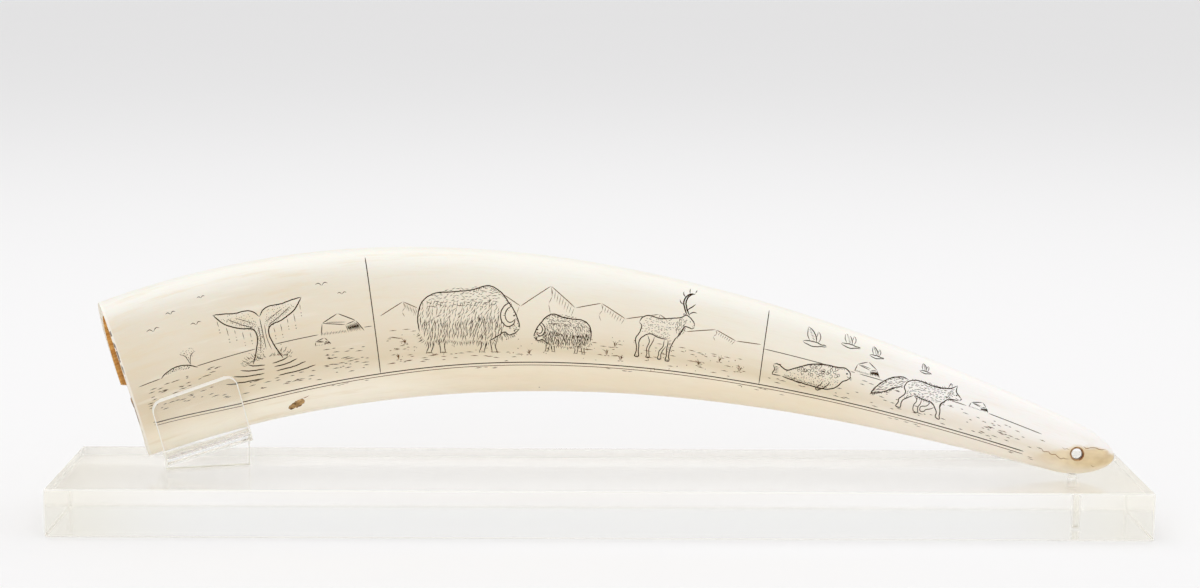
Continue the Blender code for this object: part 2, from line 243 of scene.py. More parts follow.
def polish(u, angle):
    """Hand-polished skin, in metres out: long shallow waves and soft lengthwise flats."""
    waves = ripple(u * 61, u * 37 + 2 * np.sin(angle), u * 23 - 3 * angle)
    flats = ripple(7 * np.sin(angle) + u * 9, 11 * np.sin(angle) - u * 6, 5 * angle + u * 4)
    fade = 1 - POLISH_FADE * np.clip(u / TUSK_LENGTH, 0, 1)
    return POLISH_WAVE * waves + POLISH_FLAT * flats * fade


def section_point(u, angle, inset=0.0, shrink=1.0):
    """The superellipse's two coordinates at an angle: across towards the viewer, and up.

    They are signed powers of the angle's cosine and sine, times the half sizes less an inset.
    """
    height, thickness = section_sizes(u)
    across = signed_power(np.cos(angle), 2 / SECTION_POWER) * (thickness - inset) * shrink
    return across, signed_power(np.sin(angle), 2 / SECTION_POWER) * (height - inset) * shrink


def in_section(u, across, upward):
    """The section's middle, and steps from it along the section's two axes."""
    side, up = section_axes(u)
    return middle(u) + across[..., None] * side + upward[..., None] * up


def skin(u, angle):
    """The polished outer surface, as a function of length along the tusk and angle round it."""
    return in_section(u, *section_point(u, angle, inset=-polish(u, angle)))


def skin_normal(u, angle, step=0.0004, turn=0.01):
    """Outward normal of the skin, from its two slopes."""
    along = skin(u + step, angle) - skin(u - step, angle)
    around = skin(u, angle + turn) - skin(u, angle - turn)
    return unit(np.cross(along, around))


def angle_at(u, upward, facing):
    """The angle of the skin's point that far above the section's middle.

    The side faces the viewer at 1, and away at -1.
    """
    height, _ = section_sizes(u)
    share = np.clip(upward / np.maximum(height, 1e-9), -1, 1)
    angle = np.arcsin(signed_power(share, SECTION_POWER / 2))
    return angle if facing > 0 else math.pi - angle


def saw_cut(angle):
    """Where the saw cut lies: square across the near half, slanting across the far half.

    It also leans evenly with height.
    """
    far_side = np.minimum(np.cos(angle), 0) * ROOT_THICKNESS / 2
    rise = np.sin(angle) * ROOT_HEIGHT / 2
    return far_side * math.tan(ROOT_CUT_SWING) + rise * math.tan(ROOT_CUT_TILT)


def root_edge(angle):
    """Where the rim starts along the tusk: the saw cut, and the stepped break.

    The break takes the far side from just below its middle to its foot, in two bites with a
    splinter of rim between them.
    """
    across = np.cos(angle)
    upward = np.sin(angle)
    broken = (across < BREAK_FOOT) & (upward < BREAK_TOP)
    tooth = broken & (upward <= TOOTH_TOP) & (upward > TOOTH_FOOT)
    ragged = 1 + BREAK_RAGGED * np.sin(BREAK_WAVES * angle)
    return saw_cut(angle) + ragged * (BREAK_DEPTH * (broken & ~tooth) + TOOTH_DEPTH * tooth)


# Engraving

GROOVE_STEEPNESS = 0.75  # depth of a groove over its half width
INK_SPREAD = 1.25  # width of an inked groove at the skin over the width that its stroke is given
INKS = ("black", "brown", "crack", "pit")
FILL_CLEARANCE = 0.35  # millimetres kept between a stroke and the plain points round it
BORDER_MARGIN = 0.0014
BLUNT_END = 0.35  # share of its width that a stroke has just before it ends
DOT_SIDES = 5
CURVE_STEPS = 12  # between two of a smooth line's given points
INKED_DEPTH = 0.004  # millimetres below which a groove's floor takes ink
SEED = 7


def blend(at, low, high, first, second):
    """From first to second as a value goes from low to high."""
    return (high - at) / (high - low) * first + (at - low) / (high - low) * second


def through(points, spacing=1.0, closed=False):
    """A smooth curve through a few points, sampled evenly: a centripetal Catmull-Rom spline."""
    knots = np.asarray(points, float)
    if closed:
        knots = np.vstack([knots[-1], knots, knots[:2]])
    else:
        knots = np.vstack([2 * knots[0] - knots[1], knots, 2 * knots[-1] - knots[-2]])
    gaps = np.maximum(np.linalg.norm(np.diff(knots, axis=0), axis=1), 1e-6) ** 0.5
    times = np.concatenate([[0], np.cumsum(gaps)])
    pieces = []
    for first in range(len(knots) - 3):
        t0, t1, t2, t3 = times[first : first + 4]
        p0, p1, p2, p3 = knots[first : first + 4]
        t = np.linspace(t1, t2, CURVE_STEPS, endpoint=False)[:, None]
        a2 = blend(t, t1, t2, p1, p2)
        b1 = blend(t, t0, t2, blend(t, t0, t1, p0, p1), a2)
        b2 = blend(t, t1, t3, a2, blend(t, t2, t3, p2, p3))
        pieces.append(blend(t, t1, t2, b1, b2))
    curve = np.vstack([*pieces, knots[-2]])
    run = run_along(curve)
    count = max(3, int(round(run[-1] / spacing)) + 1)
    at = np.linspace(0, run[-1], count)
    return together(*(np.interp(at, run, curve[:, axis]) for axis in range(2)))


def inside_loop(points, loop):
    """Whether each point lies in a closed loop, by counting the edges that a ray crosses."""
    following = np.roll(loop, -1, axis=0)
    x, y = points[:, None, 0], points[:, None, 1]
    spans = (loop[:, 1] > y) != (following[:, 1] > y)
    slope = (following[:, 0] - loop[:, 0]) / (following[:, 1] - loop[:, 1] + 1e-15)
    crossed = spans & (x < loop[:, 0] + slope * (y - loop[:, 1]))
    return crossed.sum(axis=1) % 2 == 1


class Engraving:
    """Strokes on one broad side, in millimetres: x along the tusk from its root, y up its middle.

    A motif is drawn in its own coordinates, facing right, and set down by at().
    """

    def __init__(self, facing):
        self.facing = facing
        self.strokes, self.covers = [], []
        self.chance = np.random.default_rng(SEED + facing)
        self.at(0, 0)

    def at(self, x, y, size=1.0, flip=False, turn=0.0):
        """Sets how the next strokes are set down: origin, size, mirroring, slope in degrees."""
        self.origin, self.size, self.flip = np.array([x, y], float), size, flip
        self.turn = math.radians(turn)

    def set_down(self, points):
        points = np.array(points, float) * self.size
        if self.flip:
            points = points * [-1, 1]
        c, s = math.cos(self.turn), math.sin(self.turn)
        return self.origin + points @ np.array([[c, s], [-s, c]])

    def heading(self, degrees):
        """A heading of the motif's own, as it comes out on the tusk."""
        angle = np.radians(degrees)
        return (math.pi - angle if self.flip else angle) + self.turn

    def cover(self, outline):
        """Whatever is cut from here on passes behind this closed outline."""
        self.covers.append(through(self.set_down(outline), closed=True))

    def in_view(self, points):
        """Whether each point lies in front of all covers and clear of the broad side's border."""
        u, upward = points.T * MM
        start = root_edge(angle_at(u, upward, self.facing)) + BORDER_MARGIN
        shown = (u > start) & (u < CAP_START - BORDER_MARGIN)
        shown &= np.abs(upward) < SIDE_REACH * section_sizes(u)[0] - BORDER_MARGIN
        for loop in self.covers:
            shown &= ~inside_loop(points, loop)
        return shown

    def cut(self, curve, width=0.46, ink="black", taper=2.5, steepness=GROOVE_STEEPNESS):
        """The parts of a curve on the tusk that pass behind nothing, each as one groove."""
        curve = np.asarray(curve, float)
        if len(curve) == 2:
            curve = np.vstack([curve[0], curve.mean(axis=0), curve[1]])
        width = np.broadcast_to(width, len(curve))
        shown = self.in_view(curve)
        for run in np.split(np.arange(len(curve)), np.flatnonzero(np.diff(shown)) + 1):
            if shown[run[0]] and len(run) > 2:
                self.groove(curve[run], width[run], ink, taper, steepness)

    def groove(self, curve, width, ink, taper, steepness):
        """One groove that thins out over the taper at both ends, its width given at each point."""
        run = run_along(curve)
        from_end = np.minimum(run, run[-1] - run)
        spread = INK_SPREAD if ink in ("black", "brown") else 1.0
        full = BLUNT_END + (1 - BLUNT_END) * from_end / min(taper, run[-1] / 2)
        half = width * spread / 2 * np.minimum(1, full)
        half[[0, -1]] = 0
        self.strokes.append((curve, half, INKS.index(ink), steepness))

    def line(self, *points, width=0.46, ink="black", wobble=0.05):
        """A smooth line through a motif's points, with a hand's slight wobble."""
        curve = through(self.set_down(points))
        curve[1:-1] += self.chance.normal(0, wobble, (len(curve) - 2, 2))
        self.cut(curve, width, ink)

    def straight(self, *points, width=0.41, ink="black"):
        """Straight cuts from point to point."""
        places = self.set_down(points)
        for start, end in zip(places[:-1], places[1:]):
            count = max(3, int(np.linalg.norm(end - start)) + 1)
            self.cut(start + (end - start) * np.linspace(0, 1, count)[:, None], width, ink)

    def dash(self, centres, headings, lengths, width=0.31, ink="black", bow=0.0):
        """Short strokes on the tusk, each at a centre with its own heading and length."""
        centres = np.atleast_2d(centres)
        reach = np.broadcast_to(lengths, len(centres))[:, None] / 2
        headings = np.broadcast_to(headings, len(centres))
        ways = circle(headings) * reach
        side = together(-ways[:, 1], ways[:, 0]) * bow
        for centre, way, out in zip(centres, ways, side):
            self.cut([centre - way, centre + out, centre + way], width, ink)

    def dots(self, centres, width=0.41, ink="black"):
        """Stipple: tiny round pits."""
        centres = np.atleast_2d(centres)
        for centre in centres[self.in_view(centres)]:
            reach = np.array([width * INK_SPREAD * self.chance.uniform(0.4, 0.65)])
            self.strokes.append((centre[None], reach, INKS.index(ink), GROOVE_STEEPNESS))

    def spots(self, *points, **style):
        """Dots at a motif's own points."""
        self.dots(self.set_down(points), **style)

    def ring(self, centre, radius, width=0.24, ink="black"):
        """A small uneven oval on the tusk."""
        turn = np.linspace(0, 2 * math.pi, 8) + self.chance.uniform(0, 6)
        reach = radius * self.chance.uniform(0.75, 1.15, 2)
        self.cut(centre + circle(turn) * reach, width, ink, taper=0.4)

    def scattered(self, outline, count):
        """About that many points in a closed outline: a grid of even cells, each point shaken."""
        loop = through(self.set_down(outline), closed=True)
        low, high = loop.min(axis=0), loop.max(axis=0)
        following = np.roll(loop, -1, axis=0)
        area = abs((loop[:, 0] * following[:, 1] - following[:, 0] * loop[:, 1]).sum()) / 2
        cell = math.sqrt(area / count)
        columns = [np.arange(low[axis], high[axis], cell) + cell / 2 for axis in range(2)]
        grid = np.stack(np.meshgrid(*columns, indexing="ij"), axis=-1).reshape(-1, 2)
        grid = grid + self.chance.uniform(-0.45, 0.45, grid.shape) * cell
        return grid[inside_loop(grid, loop)]

    def coat(self, outline, count, heading, length, spread=14, width=0.26, ink="black", bow=0.12):
        """Hair inside a closed outline, lying at a heading in degrees with some spread."""
        roots = self.scattered(outline, count)
        headings = self.heading(heading + self.chance.normal(0, spread, len(roots)))
        lengths = length * self.size * self.chance.uniform(0.6, 1.3, len(roots))
        self.dash(roots, headings, lengths, width, ink, bow)

    def stipple(self, outline, count, width=0.31, ink="black"):
        self.dots(self.scattered(outline, count), width, ink)

    def fringe(self, *points, length=1.6, lean=-60, gap=0.9, width=0.26, ink="black", spread=12):
        """Short hairs that start on a smooth line and lean away from its direction, in degrees."""
        curve = through(self.set_down(points), spacing=gap)
        way = np.gradient(curve, axis=0)
        lean = -lean if self.flip else lean
        headings = np.arctan2(way[:, 1], way[:, 0])
        headings = headings + np.radians(lean + self.chance.normal(0, spread, len(curve)))
        lengths = length * self.size * self.chance.uniform(0.6, 1.3, len(curve))
        out = circle(headings) * lengths[:, None] / 2
        self.dash(curve + out, headings, lengths, width, ink, bow=0.1)

    def hatch(self, first, second, count, width=0.26, ink="black"):
        """Strokes from one edge to another, each edge given by two points."""
        share = np.linspace(0.04, 0.96, count)[:, None]
        edges = map(self.set_down, (first, second))
        starts, ends = (low + (high - low) * share for low, high in edges)
        shake = self.chance.uniform(0.75, 1.0, (count, 1))
        for start, end in zip(starts, starts + (ends - starts) * shake):
            self.cut([start, end], width, ink)

    def vertices_and_edges(self):
        """Both edges and the floor of every groove, for the triangulation."""
        vertices, edges, count = [], [], 0
        for curve, half, *_ in self.strokes:
            if len(curve) == 1:
                ring = curve + half[0] * circle(even_turns(DOT_SIDES))
                vertices.append(np.vstack([curve, ring]))
                number = count + 1 + np.arange(DOT_SIDES)
                edges.append(together(number, np.roll(number, -1)))
                count += 1 + DOT_SIDES
                continue
            inner = len(curve) - 2
            way = unit(curve[2:] - curve[:-2] + 1e-12)
            out = together(-way[:, 1], way[:, 0]) * half[1:-1, None]
            floor = curve[1:-1]
            vertices.append(np.vstack([curve[[0, -1]], floor, floor + out, floor - out]))
            for side in range(3):
                number = np.concatenate([[0], 2 + side * inner + np.arange(inner), [1]]) + count
                edges.append(together(number[:-1], number[1:]))
            count += 2 + 3 * inner
        return np.vstack(vertices), np.vstack(edges)

    def depth_and_ink(self, points, cell=4.0):
        """Depth of the deepest groove at each point, and its ink: a V across each stroke.

        Each stroke is a chain of segments whose half width runs evenly from end to end, and the
        depth falls from the middle to nothing at the half width. Only segments in the same cell
        of length are set against a point.
        """
        starts, ends, wide, inks, steep = [], [], [], [], []
        for curve, half, ink, steepness in self.strokes:
            if len(curve) == 1:
                curve, half = np.vstack([curve, curve + 1e-6]), np.repeat(half, 2)
            starts.append(curve[:-1])
            ends.append(curve[1:])
            wide.append(together(half[:-1], half[1:]))
            inks.append(np.full(len(curve) - 1, ink))
            steep.append(np.full(len(curve) - 1, steepness))
        starts, ends, wide, inks, steep = map(np.concatenate, (starts, ends, wide, inks, steep))
        low = np.minimum(starts[:, 0], ends[:, 0]) - wide.max(axis=1)
        high = np.maximum(starts[:, 0], ends[:, 0]) + wide.max(axis=1)
        depth = np.zeros(len(points))
        ink_of = np.zeros(len(points), int)
        cell_of = np.floor(points[:, 0] / cell).astype(int)
        for number in np.unique(cell_of):
            here = np.flatnonzero(cell_of == number)
            near = np.flatnonzero((low < (number + 1) * cell) & (high > number * cell))
            if not len(near):
                continue
            way = ends[near] - starts[near]
            offset = points[here][:, None] - starts[near]
            share = np.clip((offset * way).sum(-1) / np.maximum((way**2).sum(-1), 1e-12), 0, 1)
            away = np.linalg.norm(offset - share[..., None] * way, axis=-1)
            half = wide[near, 0] + (wide[near, 1] - wide[near, 0]) * share
            cut = steep[near] * (half - away)
            best = cut.argmax(axis=1)
            depth[here] = cut[np.arange(len(here)), best]
            ink_of[here] = inks[near][best]
        return depth, ink_of


MUSK_OX = [
    (48.5, 11.5), (47.6, 15), (45.4, 19.6), (42.6, 23.6), (39.4, 27.6), (34, 30.6), (26, 28.6),
    (18, 27.8), (9, 27.2), (3.6, 23.6), (1.4, 17), (1.8, 10), (5, 6.2), (12, 7), (20, 5.6),
    (28, 6.2), (34, 5.4), (38.6, 8), (41.5, 9.8), (43.6, 8.4), (46.4, 9.6),
]
CARIBOU = [
    (38.6, 24.4), (38, 26.4), (34.8, 29.6), (32.4, 30.8), (29.4, 28.8), (24, 27.4), (16, 26),
    (8.4, 26.8), (4.8, 25), (3, 21.8), (4.9, 20.2), (4.4, 15.8), (2.2, 11), (3.5, 6.2), (3.6, 2.4),
    (2.9, 0.3), (5.9, 0.2), (5.2, 2.5), (5, 6.4), (4.9, 10.6), (8.8, 14.6), (11.6, 15.4),
    (17, 13.8), (22.8, 13.4), (23.5, 11.6), (23.2, 7.4), (23.7, 2.6), (23.1, 0.3), (26, 0.2),
    (25.3, 2.7), (25.3, 7.4), (26.8, 12.8), (28.8, 16.6), (30.6, 19.6), (32.4, 23.2), (35.2, 23.2),
    (37.6, 22.8),
]
SEAL = [
    (35.8, 9.4), (34.9, 11.6), (31.8, 13.2), (28.4, 12.6), (22, 12.4), (14, 10.6), (7.5, 7.2),
    (2.6, 4.8), (-2.6, 6.8), (-5, 6.2), (-3.6, 3.6), (-4.4, 1.4), (0.6, 1.2), (8, 0.4), (18, 0),
    (26, 0.4), (30.2, 3), (32.2, 6), (34.6, 7.6),
]
FOX = [
    (38.6, 15), (36.4, 16.6), (34.6, 18.2), (34.2, 21.8), (31.8, 19.4), (28.6, 18.2), (22, 17.2),
    (15, 17.8), (10.4, 17.4), (6.8, 15.4), (5.8, 12), (7.4, 9.2), (6.4, 7), (4.6, 4.6), (4.9, 2.6),
    (3.9, 0.5), (6.8, 0.2), (6.7, 2.6), (6.9, 4.4), (9.6, 7), (12.6, 9.2), (18, 8.4), (23.4, 8),
    (25.6, 6), (27.4, 3.4), (27.4, 1.2), (30.2, 0.4), (29.4, 2.4), (29.2, 4.6), (28, 8.2),
    (29.8, 11), (32, 13), (35.4, 13.4), (37.8, 13.8),
]
FOX_TAIL = [
    (7.8, 16.2), (4, 17.2), (-1.4, 15.6), (-6.6, 11.6), (-10.4, 6.4), (-11.4, 3.4), (-8.4, 4.4),
    (-4, 6.6), (0.4, 9.8), (3.6, 11.6), (6, 12.2),
]
FLUKES = [
    (6.6, -1), (3.8, 5), (2.5, 10), (3.4, 13.2), (8.6, 14.8), (14.4, 18), (18.2, 22.8),
    (14.4, 22.3), (9.4, 21.4), (4.6, 21.4), (1.8, 20.2), (0, 17.8),
]


def draw_musk_ox(g):
    """A musk ox from its side: a humped, shaggy body on short legs, and an upturned horn."""
    g.line(*MUSK_OX[:12], width=0.50)
    g.line(*MUSK_OX[16:], MUSK_OX[0], width=0.46)
    for x, foot in ((7, 6.2), (12.4, 12.8), (31.8, 31.2), (36.4, 37.2)):
        g.line((x - 1.5, 6), (x - 1.1, 3.2), (foot - 1.3, 0.9), (foot - 1.5, 0), width=0.41)
        g.line((x + 1.6, 6), (x + 1, 3.2), (foot + 1, 0.9), (foot + 1.5, 0), width=0.41)
        g.hatch([(foot - 1.4, 0.1), (foot + 1.4, 0.1)], [(foot - 1.2, 1.2), (foot + 1, 1.2)], 5)
    g.line((44, 23.4), (41, 21.6), (39.4, 18.2), (40, 14.4), (42.8, 12.2), (45.4, 13.4),
           (46.2, 16), width=0.48)
    g.line((44.6, 21.6), (42.4, 20.2), (41.4, 17.6), (42, 15.2), (43.6, 14.2), (45.2, 14.8),
           (46.2, 16), width=0.41)
    g.hatch([(44.2, 23.2), (40, 17)], [(44.4, 21.8), (41.6, 17)], 7)
    g.spots((45.6, 17.4), (45.5, 17.3), (48, 12.6), (46, 10.4), width=0.66)
    g.line((48.4, 11.2), (47, 11), (46, 11.4), width=0.29)
    g.coat([(8, 26.6), (34, 30), (39.6, 26.6), (36, 22), (20, 21.5), (6, 21.8)], 120, 188, 2.2,
           spread=16)
    g.coat([(3, 22.4), (20, 22.6), (37, 23.6), (38.4, 15), (20, 13.6), (2.4, 14)], 150, 248, 3)
    g.coat([(2.4, 14.6), (20, 14.2), (38.4, 16), (41, 10.4), (36, 6.4), (20, 6.8), (5, 7.2)], 190,
           262, 3.6, spread=9, width=0.31)
    g.fringe(*MUSK_OX[11:19], length=2.8, lean=-95, gap=0.75)
    g.fringe((43.6, 23), (39.4, 27.4), (34, 30.4), (26, 28.4), length=1.4, lean=60, gap=1)
    g.fringe((41.5, 9.8), (43.6, 8.2), (46.2, 9.4), length=1.6, lean=-80, gap=0.6)
    g.coat([(42.6, 22.6), (46.6, 17), (48, 12.6), (46, 10.6), (43, 11.4), (46.6, 14.6)], 14, 290,
           1.2)
    g.cover(MUSK_OX)


def draw_caribou(g):
    """A caribou from its side: a maned neck, slim legs and a sweeping rack of antlers."""
    g.line(*CARIBOU[:10])
    g.line(*CARIBOU[9:24])
    g.line(*CARIBOU[23:33])
    g.line(*CARIBOU[32:], CARIBOU[0])
    g.line((9.6, 14.4), (11.4, 10.4), (10.2, 6), (10.9, 2.2), (10.3, 0.4), (12.9, 0.3),
           (12.3, 2.4), (11.8, 6.2), (13.6, 10.8), (14.4, 14.2), width=0.38)
    g.line((20.8, 13.4), (20.6, 8.6), (18.4, 5), (18.6, 2.4), (17.9, 0.5), (20.4, 0.4), (20, 2.6),
           (20.4, 5.2), (22.6, 9.4), width=0.38)
    for x in (4.4, 11.6, 19.1, 24.6):
        g.hatch([(x - 1.2, 0.3), (x + 1.2, 0.3)], [(x - 0.9, 1.4), (x + 0.9, 1.4)], 4)
    for side in (0, 1.4):
        g.line((33.0 + side, 30.6), (30.6 + side, 34.6), (29.3 + side, 39.2), (31.0 + side, 43.4),
               (34.6 + side, 45.6), width=0.60)
    for tine in (
        [(33.6, 31.2), (36.4, 33.4), (38.9, 32.9)], [(31.6, 33.4), (35, 36.6), (37.2, 38.8)],
        [(29.8, 37), (27.4, 38.4), (26.6, 40.2)], [(30.2, 41.8), (28.6, 43.6), (28.4, 45.8)],
        [(32.6, 44.8), (32, 46.6), (32.2, 48.4)], [(35.4, 45.8), (36.4, 47.4), (36.2, 49.4)],
    ):
        g.line(*tine, width=0.50)
    g.line((32.4, 30.6), (30.2, 31.6), (30.9, 30), width=0.38)
    g.spots((35.4, 27), (38.2, 24.9), width=0.60)
    g.line((38.2, 23.8), (36.8, 24.2), width=0.26)
    g.fringe((32.6, 23.4), (30.6, 19.6), (28.6, 16.4), length=2.4, lean=18, gap=0.45)
    g.coat([(30, 28.4), (33.4, 27.6), (32.2, 23.6), (29, 17.4), (26.6, 20), (27, 26)], 44, 262,
           1.8)
    g.coat([(9, 26), (24, 26.6), (26, 21), (22, 19.6), (10, 20.5), (5.5, 22)], 64, 186, 1.5)
    g.coat([(5.6, 20), (22, 19.4), (26, 15), (22, 14.2), (12, 15.8), (6, 16)], 44, 200, 1.3)
    g.coat([(24.4, 15), (26.2, 14), (25, 5), (23.8, 5)], 12, 268, 1.4)
    g.fringe((11.6, 15.6), (17, 14), (22.8, 13.6), length=1.1, lean=70, gap=0.8)
    g.cover(CARIBOU)


def draw_flukes(g):
    """A whale's flukes over the water: a slim stock that opens into two swept lobes."""
    for side in (1, -1):
        half = [(side * x, y) for x, y in FLUKES]
        g.line(*half[:7], width=0.53)
        g.line(*half[6:], width=0.48)
        g.stipple([(side * 2.4, 12.6), (side * 8.2, 15.4), (side * 15.6, 20.4), (side * 8, 17.8),
                  (side * 2, 16.4)], 80)
        g.stipple([(side * 3, 17), (side * 12, 19.4), (side * 14.6, 21.6), (side * 4, 20.4)], 26)
        g.line((side * 3, 13.8), (side * 8, 16.4), (side * 13, 19.8), width=0.29)
        g.line((side * 2.2, 15.2), (side * 6, 17.4), (side * 10, 19.6), width=0.24)
        for reach, drop in ((5, 2.4), (8, 3.4), (11, 2), (14, 3.8), (17, 2.6)):
            top = np.interp(reach, [3, 8.6, 14.4, 18.2], [13, 14.8, 18, 22.8]) - 1.2
            g.line((side * reach, top), (side * reach, top - drop), width=0.29)
            g.spots((side * reach, top - drop - 1.2), (side * reach, top - drop - 2.4))
        g.line((side * 1.4, 14.6), (side * 1.3, 9), (side * 2.4, 3.4), width=0.26)
    g.stipple([(-5, 0.4), (-2.6, 7), (-2, 13), (0, 14), (-0.4, 6), (-2.2, 0.4)], 90)
    g.line((0.2, 4), (0.1, 10), (0, 17.4), width=0.31)
    for side in (1, -1):
        g.fringe((side * 0.6, 0.8), (side * 5, 0.3), (side * 9.4, -1), length=1.9, lean=side * 58,
                 gap=0.7)
        g.fringe((side * 4.6, 1.4), (side * 7.6, 1.2), (side * 10, 0.2), length=2.4,
                 lean=side * 62, gap=0.9)
    g.spots((-9.6, 2.6), (-7.2, 4), (8.2, 3.2), (10.2, 1.9), (6.6, 5), (-10.8, 0.9))
    for reach, drop in ((9, -1.6), (12.5, -3.2), (16, -5), (20, -7)):
        for side in (1, -1):
            g.line((side * reach, drop + 1.2), (side * reach * 0.7, drop + 0.1),
                   (side * reach * 0.15, drop - 0.5))
    g.cover(FLUKES + [(-x, y) for x, y in FLUKES[::-1]])


def draw_whale_back(g):
    """A whale's back further out, with its blow."""
    back = [(-12, 0), (-8, 2.4), (-1, 4.2), (6, 3.4), (11, 1), (13, 0)]
    g.line(*back)
    g.stipple([(-8, 1.8), (-1, 3.6), (6, 2.8), (9, 1), (0, 1.6)], 44)
    g.line((8.6, 2.4), (8, 6), (6.2, 9.6), (3.6, 10.8), width=0.29)
    g.line((8.8, 2.4), (9.4, 6.2), (11.6, 9.6), (14.2, 10.4), width=0.29)
    g.stipple([(8.6, 6), (4, 11.6), (8.8, 13.4), (14, 11.2), (9.2, 6)], 26)
    g.cover(back)


def draw_seal(g):
    """A ringed seal on the ice, its head up: a spindle with flippers and ringed spots."""
    g.line(*SEAL[:10], width=0.50)
    g.line(*SEAL[9:13], width=0.43)
    g.line(*SEAL[12:], SEAL[0], width=0.50)
    g.line((26.4, 4.6), (24.4, 1.4), (20.6, -1.4), (19.4, -0.8), (21.6, 1.8), (22.6, 4),
           width=0.41)
    g.hatch([(19.6, -1), (21, -1.6)], [(21.4, 0.6), (22.8, 0.4)], 4)
    g.hatch([(-4.6, 5.6), (-3.8, 2)], [(-1, 5.2), (-1.2, 2.6)], 5)
    g.spots((33.6, 10.7), (33.5, 10.6), (35.6, 9.3), width=0.72)
    g.line((35.4, 8.8), (34.4, 8.9), (33.6, 9.4), width=0.26)
    for rise in (-0.6, 0.2, 1):
        g.straight((34.9, 8.7), (36.8, 8.2 + rise), width=0.22)
    coat = [(8, 7.2), (14, 10), (22, 11.6), (29, 11.8), (30, 8), (22, 6), (10, 5.4)]
    for centre in g.scattered(coat, 30):
        g.ring(centre, 0.8 * g.size)
    g.fringe(*SEAL[2:8], length=1.1, lean=55, gap=0.8)
    g.stipple([(4, 3.6), (14, 5), (24, 5.8), (30, 6), (28, 2), (16, 1), (4, 1.8)], 90)
    g.fringe((2, 1.4), (8, 0.7), (18, 0.3), (25, 0.6), length=1.3, lean=70, gap=0.7)
    g.cover(SEAL)


def draw_fox(g):
    """An arctic fox at a trot, with a full brush of a tail."""
    for first, last in ((0, 3), (3, 10), (9, 20), (20, 30), (29, 33)):
        g.line(*FOX[first:last + 1], width=0.46)
    g.line(FOX[-1], FOX[0], width=0.36)
    g.line((12.8, 9), (14.8, 6.6), (13.8, 3.6), (14.6, 0.5), (17.2, 0.3), (16.4, 3.2), (17.4, 6.2),
           (16.8, 8.6), width=0.38)
    g.line((22.6, 8), (21, 5.4), (17.9, 4), (18.2, 1.6), (20.4, 2), (21, 3.2), (24.4, 5),
           (25.4, 6.2), width=0.38)
    g.line((31.8, 19.4), (30.6, 22), (29.6, 18.4), width=0.38)
    g.spots((35.3, 16.2), (35.4, 16.2), (38.4, 14.9), (38.5, 14.9), width=0.60)
    g.line((37.9, 14.2), (36.2, 14.3), (34.8, 14.9), width=0.26)
    g.line((32, 18.6), (31.6, 15.6), (30.2, 12.4), width=0.26)
    g.fringe((33.6, 19), (28.6, 18.2), (22, 17.2), (15, 17.8), (10, 17), length=1.7, lean=-25,
             gap=0.8)
    g.coat([(12, 17.2), (28, 17.8), (31, 13), (26, 9.2), (12, 9.8), (7.4, 13)], 120, 192, 1.6)
    g.coat([(8, 11), (11.6, 10), (8.4, 6.6), (6.6, 5.6)], 12, 240, 1.4)
    g.coat([(32.6, 18.2), (34.4, 16.6), (33.4, 14), (30.6, 12.4), (29.8, 15.6)], 16, 232, 1.4)
    g.fringe((12.6, 9.2), (18, 8.4), (23.4, 8), length=1.5, lean=-60, gap=0.7)
    g.fringe((35, 13.4), (32, 13), (29.8, 11), (28.2, 8.2), length=1.8, lean=20, gap=0.6)
    g.cover(FOX)
    g.line(*FOX_TAIL, width=0.43)
    g.coat(FOX_TAIL, 70, 214, 2.2, spread=10)
    g.fringe(*FOX_TAIL[5:], length=1.6, lean=-150, gap=0.7)
    g.fringe(*FOX_TAIL[1:6], length=1.4, lean=20, gap=0.8)
    g.cover(FOX_TAIL)


def draw_goose(g):
    """A goose in flight: a long neck, and both wings up."""
    g.line((13.8, 0.9), (12.5, 2), (10.4, 1.4), (7, 1.9), (3, 1.7), (-1.6, 0.8), (-3, -0.2),
           width=0.41)
    g.line((-3, -0.2), (0.8, -1.1), (4.6, -1.5), (8, -0.5), (10.8, 0.4), (12.6, 0.6), (13.8, 0.9),
           width=0.41)
    g.line((6.4, 1.7), (4.9, 5.6), (1.2, 9.4), (-2.2, 10.8), width=0.43)
    g.line((-2.2, 10.8), (-1.6, 7.6), (-0.6, 4.6), (1.6, 1.6), width=0.36)
    g.hatch([(-1.6, 9.6), (3.4, 2)], [(1, 9), (5.2, 4)], 8, width=0.24)
    g.line((7.4, 1.8), (8.2, 5.4), (6.6, 8.8), (5.2, 9.6), width=0.36)
    g.line((5.2, 9.6), (5.4, 7.4), (5.4, 5), width=0.29)
    g.hatch([(11.4, 1), (13, 1)], [(11.4, 1.6), (12.8, 1.6)], 4, width=0.24)


def draw_ice(g, width, height, lean=0.3):
    """A block of ice: a tilted top, a lit face, and a shaded end."""
    low, crest, ridge, end = height * 0.62, width * (0.34 + lean * 0.3), width * 0.58, width * 0.82
    g.straight((0, 0), (width * 0.06, low), (crest, height), (end, low * 0.9), (width, 0))
    g.straight((width * 0.06, low), (ridge, low * 0.66), (end, low * 0.9), width=0.34)
    g.straight((ridge, low * 0.66), (width * 0.64, 0), width=0.34)
    g.hatch([(ridge + 0.4, low * 0.62), (end, low * 0.84)], [(width * 0.66, 0.1),
            (width * 0.97, 0.1)], int(width * 0.8))
    g.hatch([(0.4, 0.1), (width * 0.6, 0.1)], [(0.5, low * 0.36), (ridge, low * 0.3)],
            int(width * 0.7))
    g.straight((width * 0.14, low * 1.04), (width * 0.6, low * 0.86), width=0.24)
    g.cover([(0, 0), (width * 0.06, low), (crest, height), (end, low * 0.9), (width, 0),
            (width / 2, -0.1)])


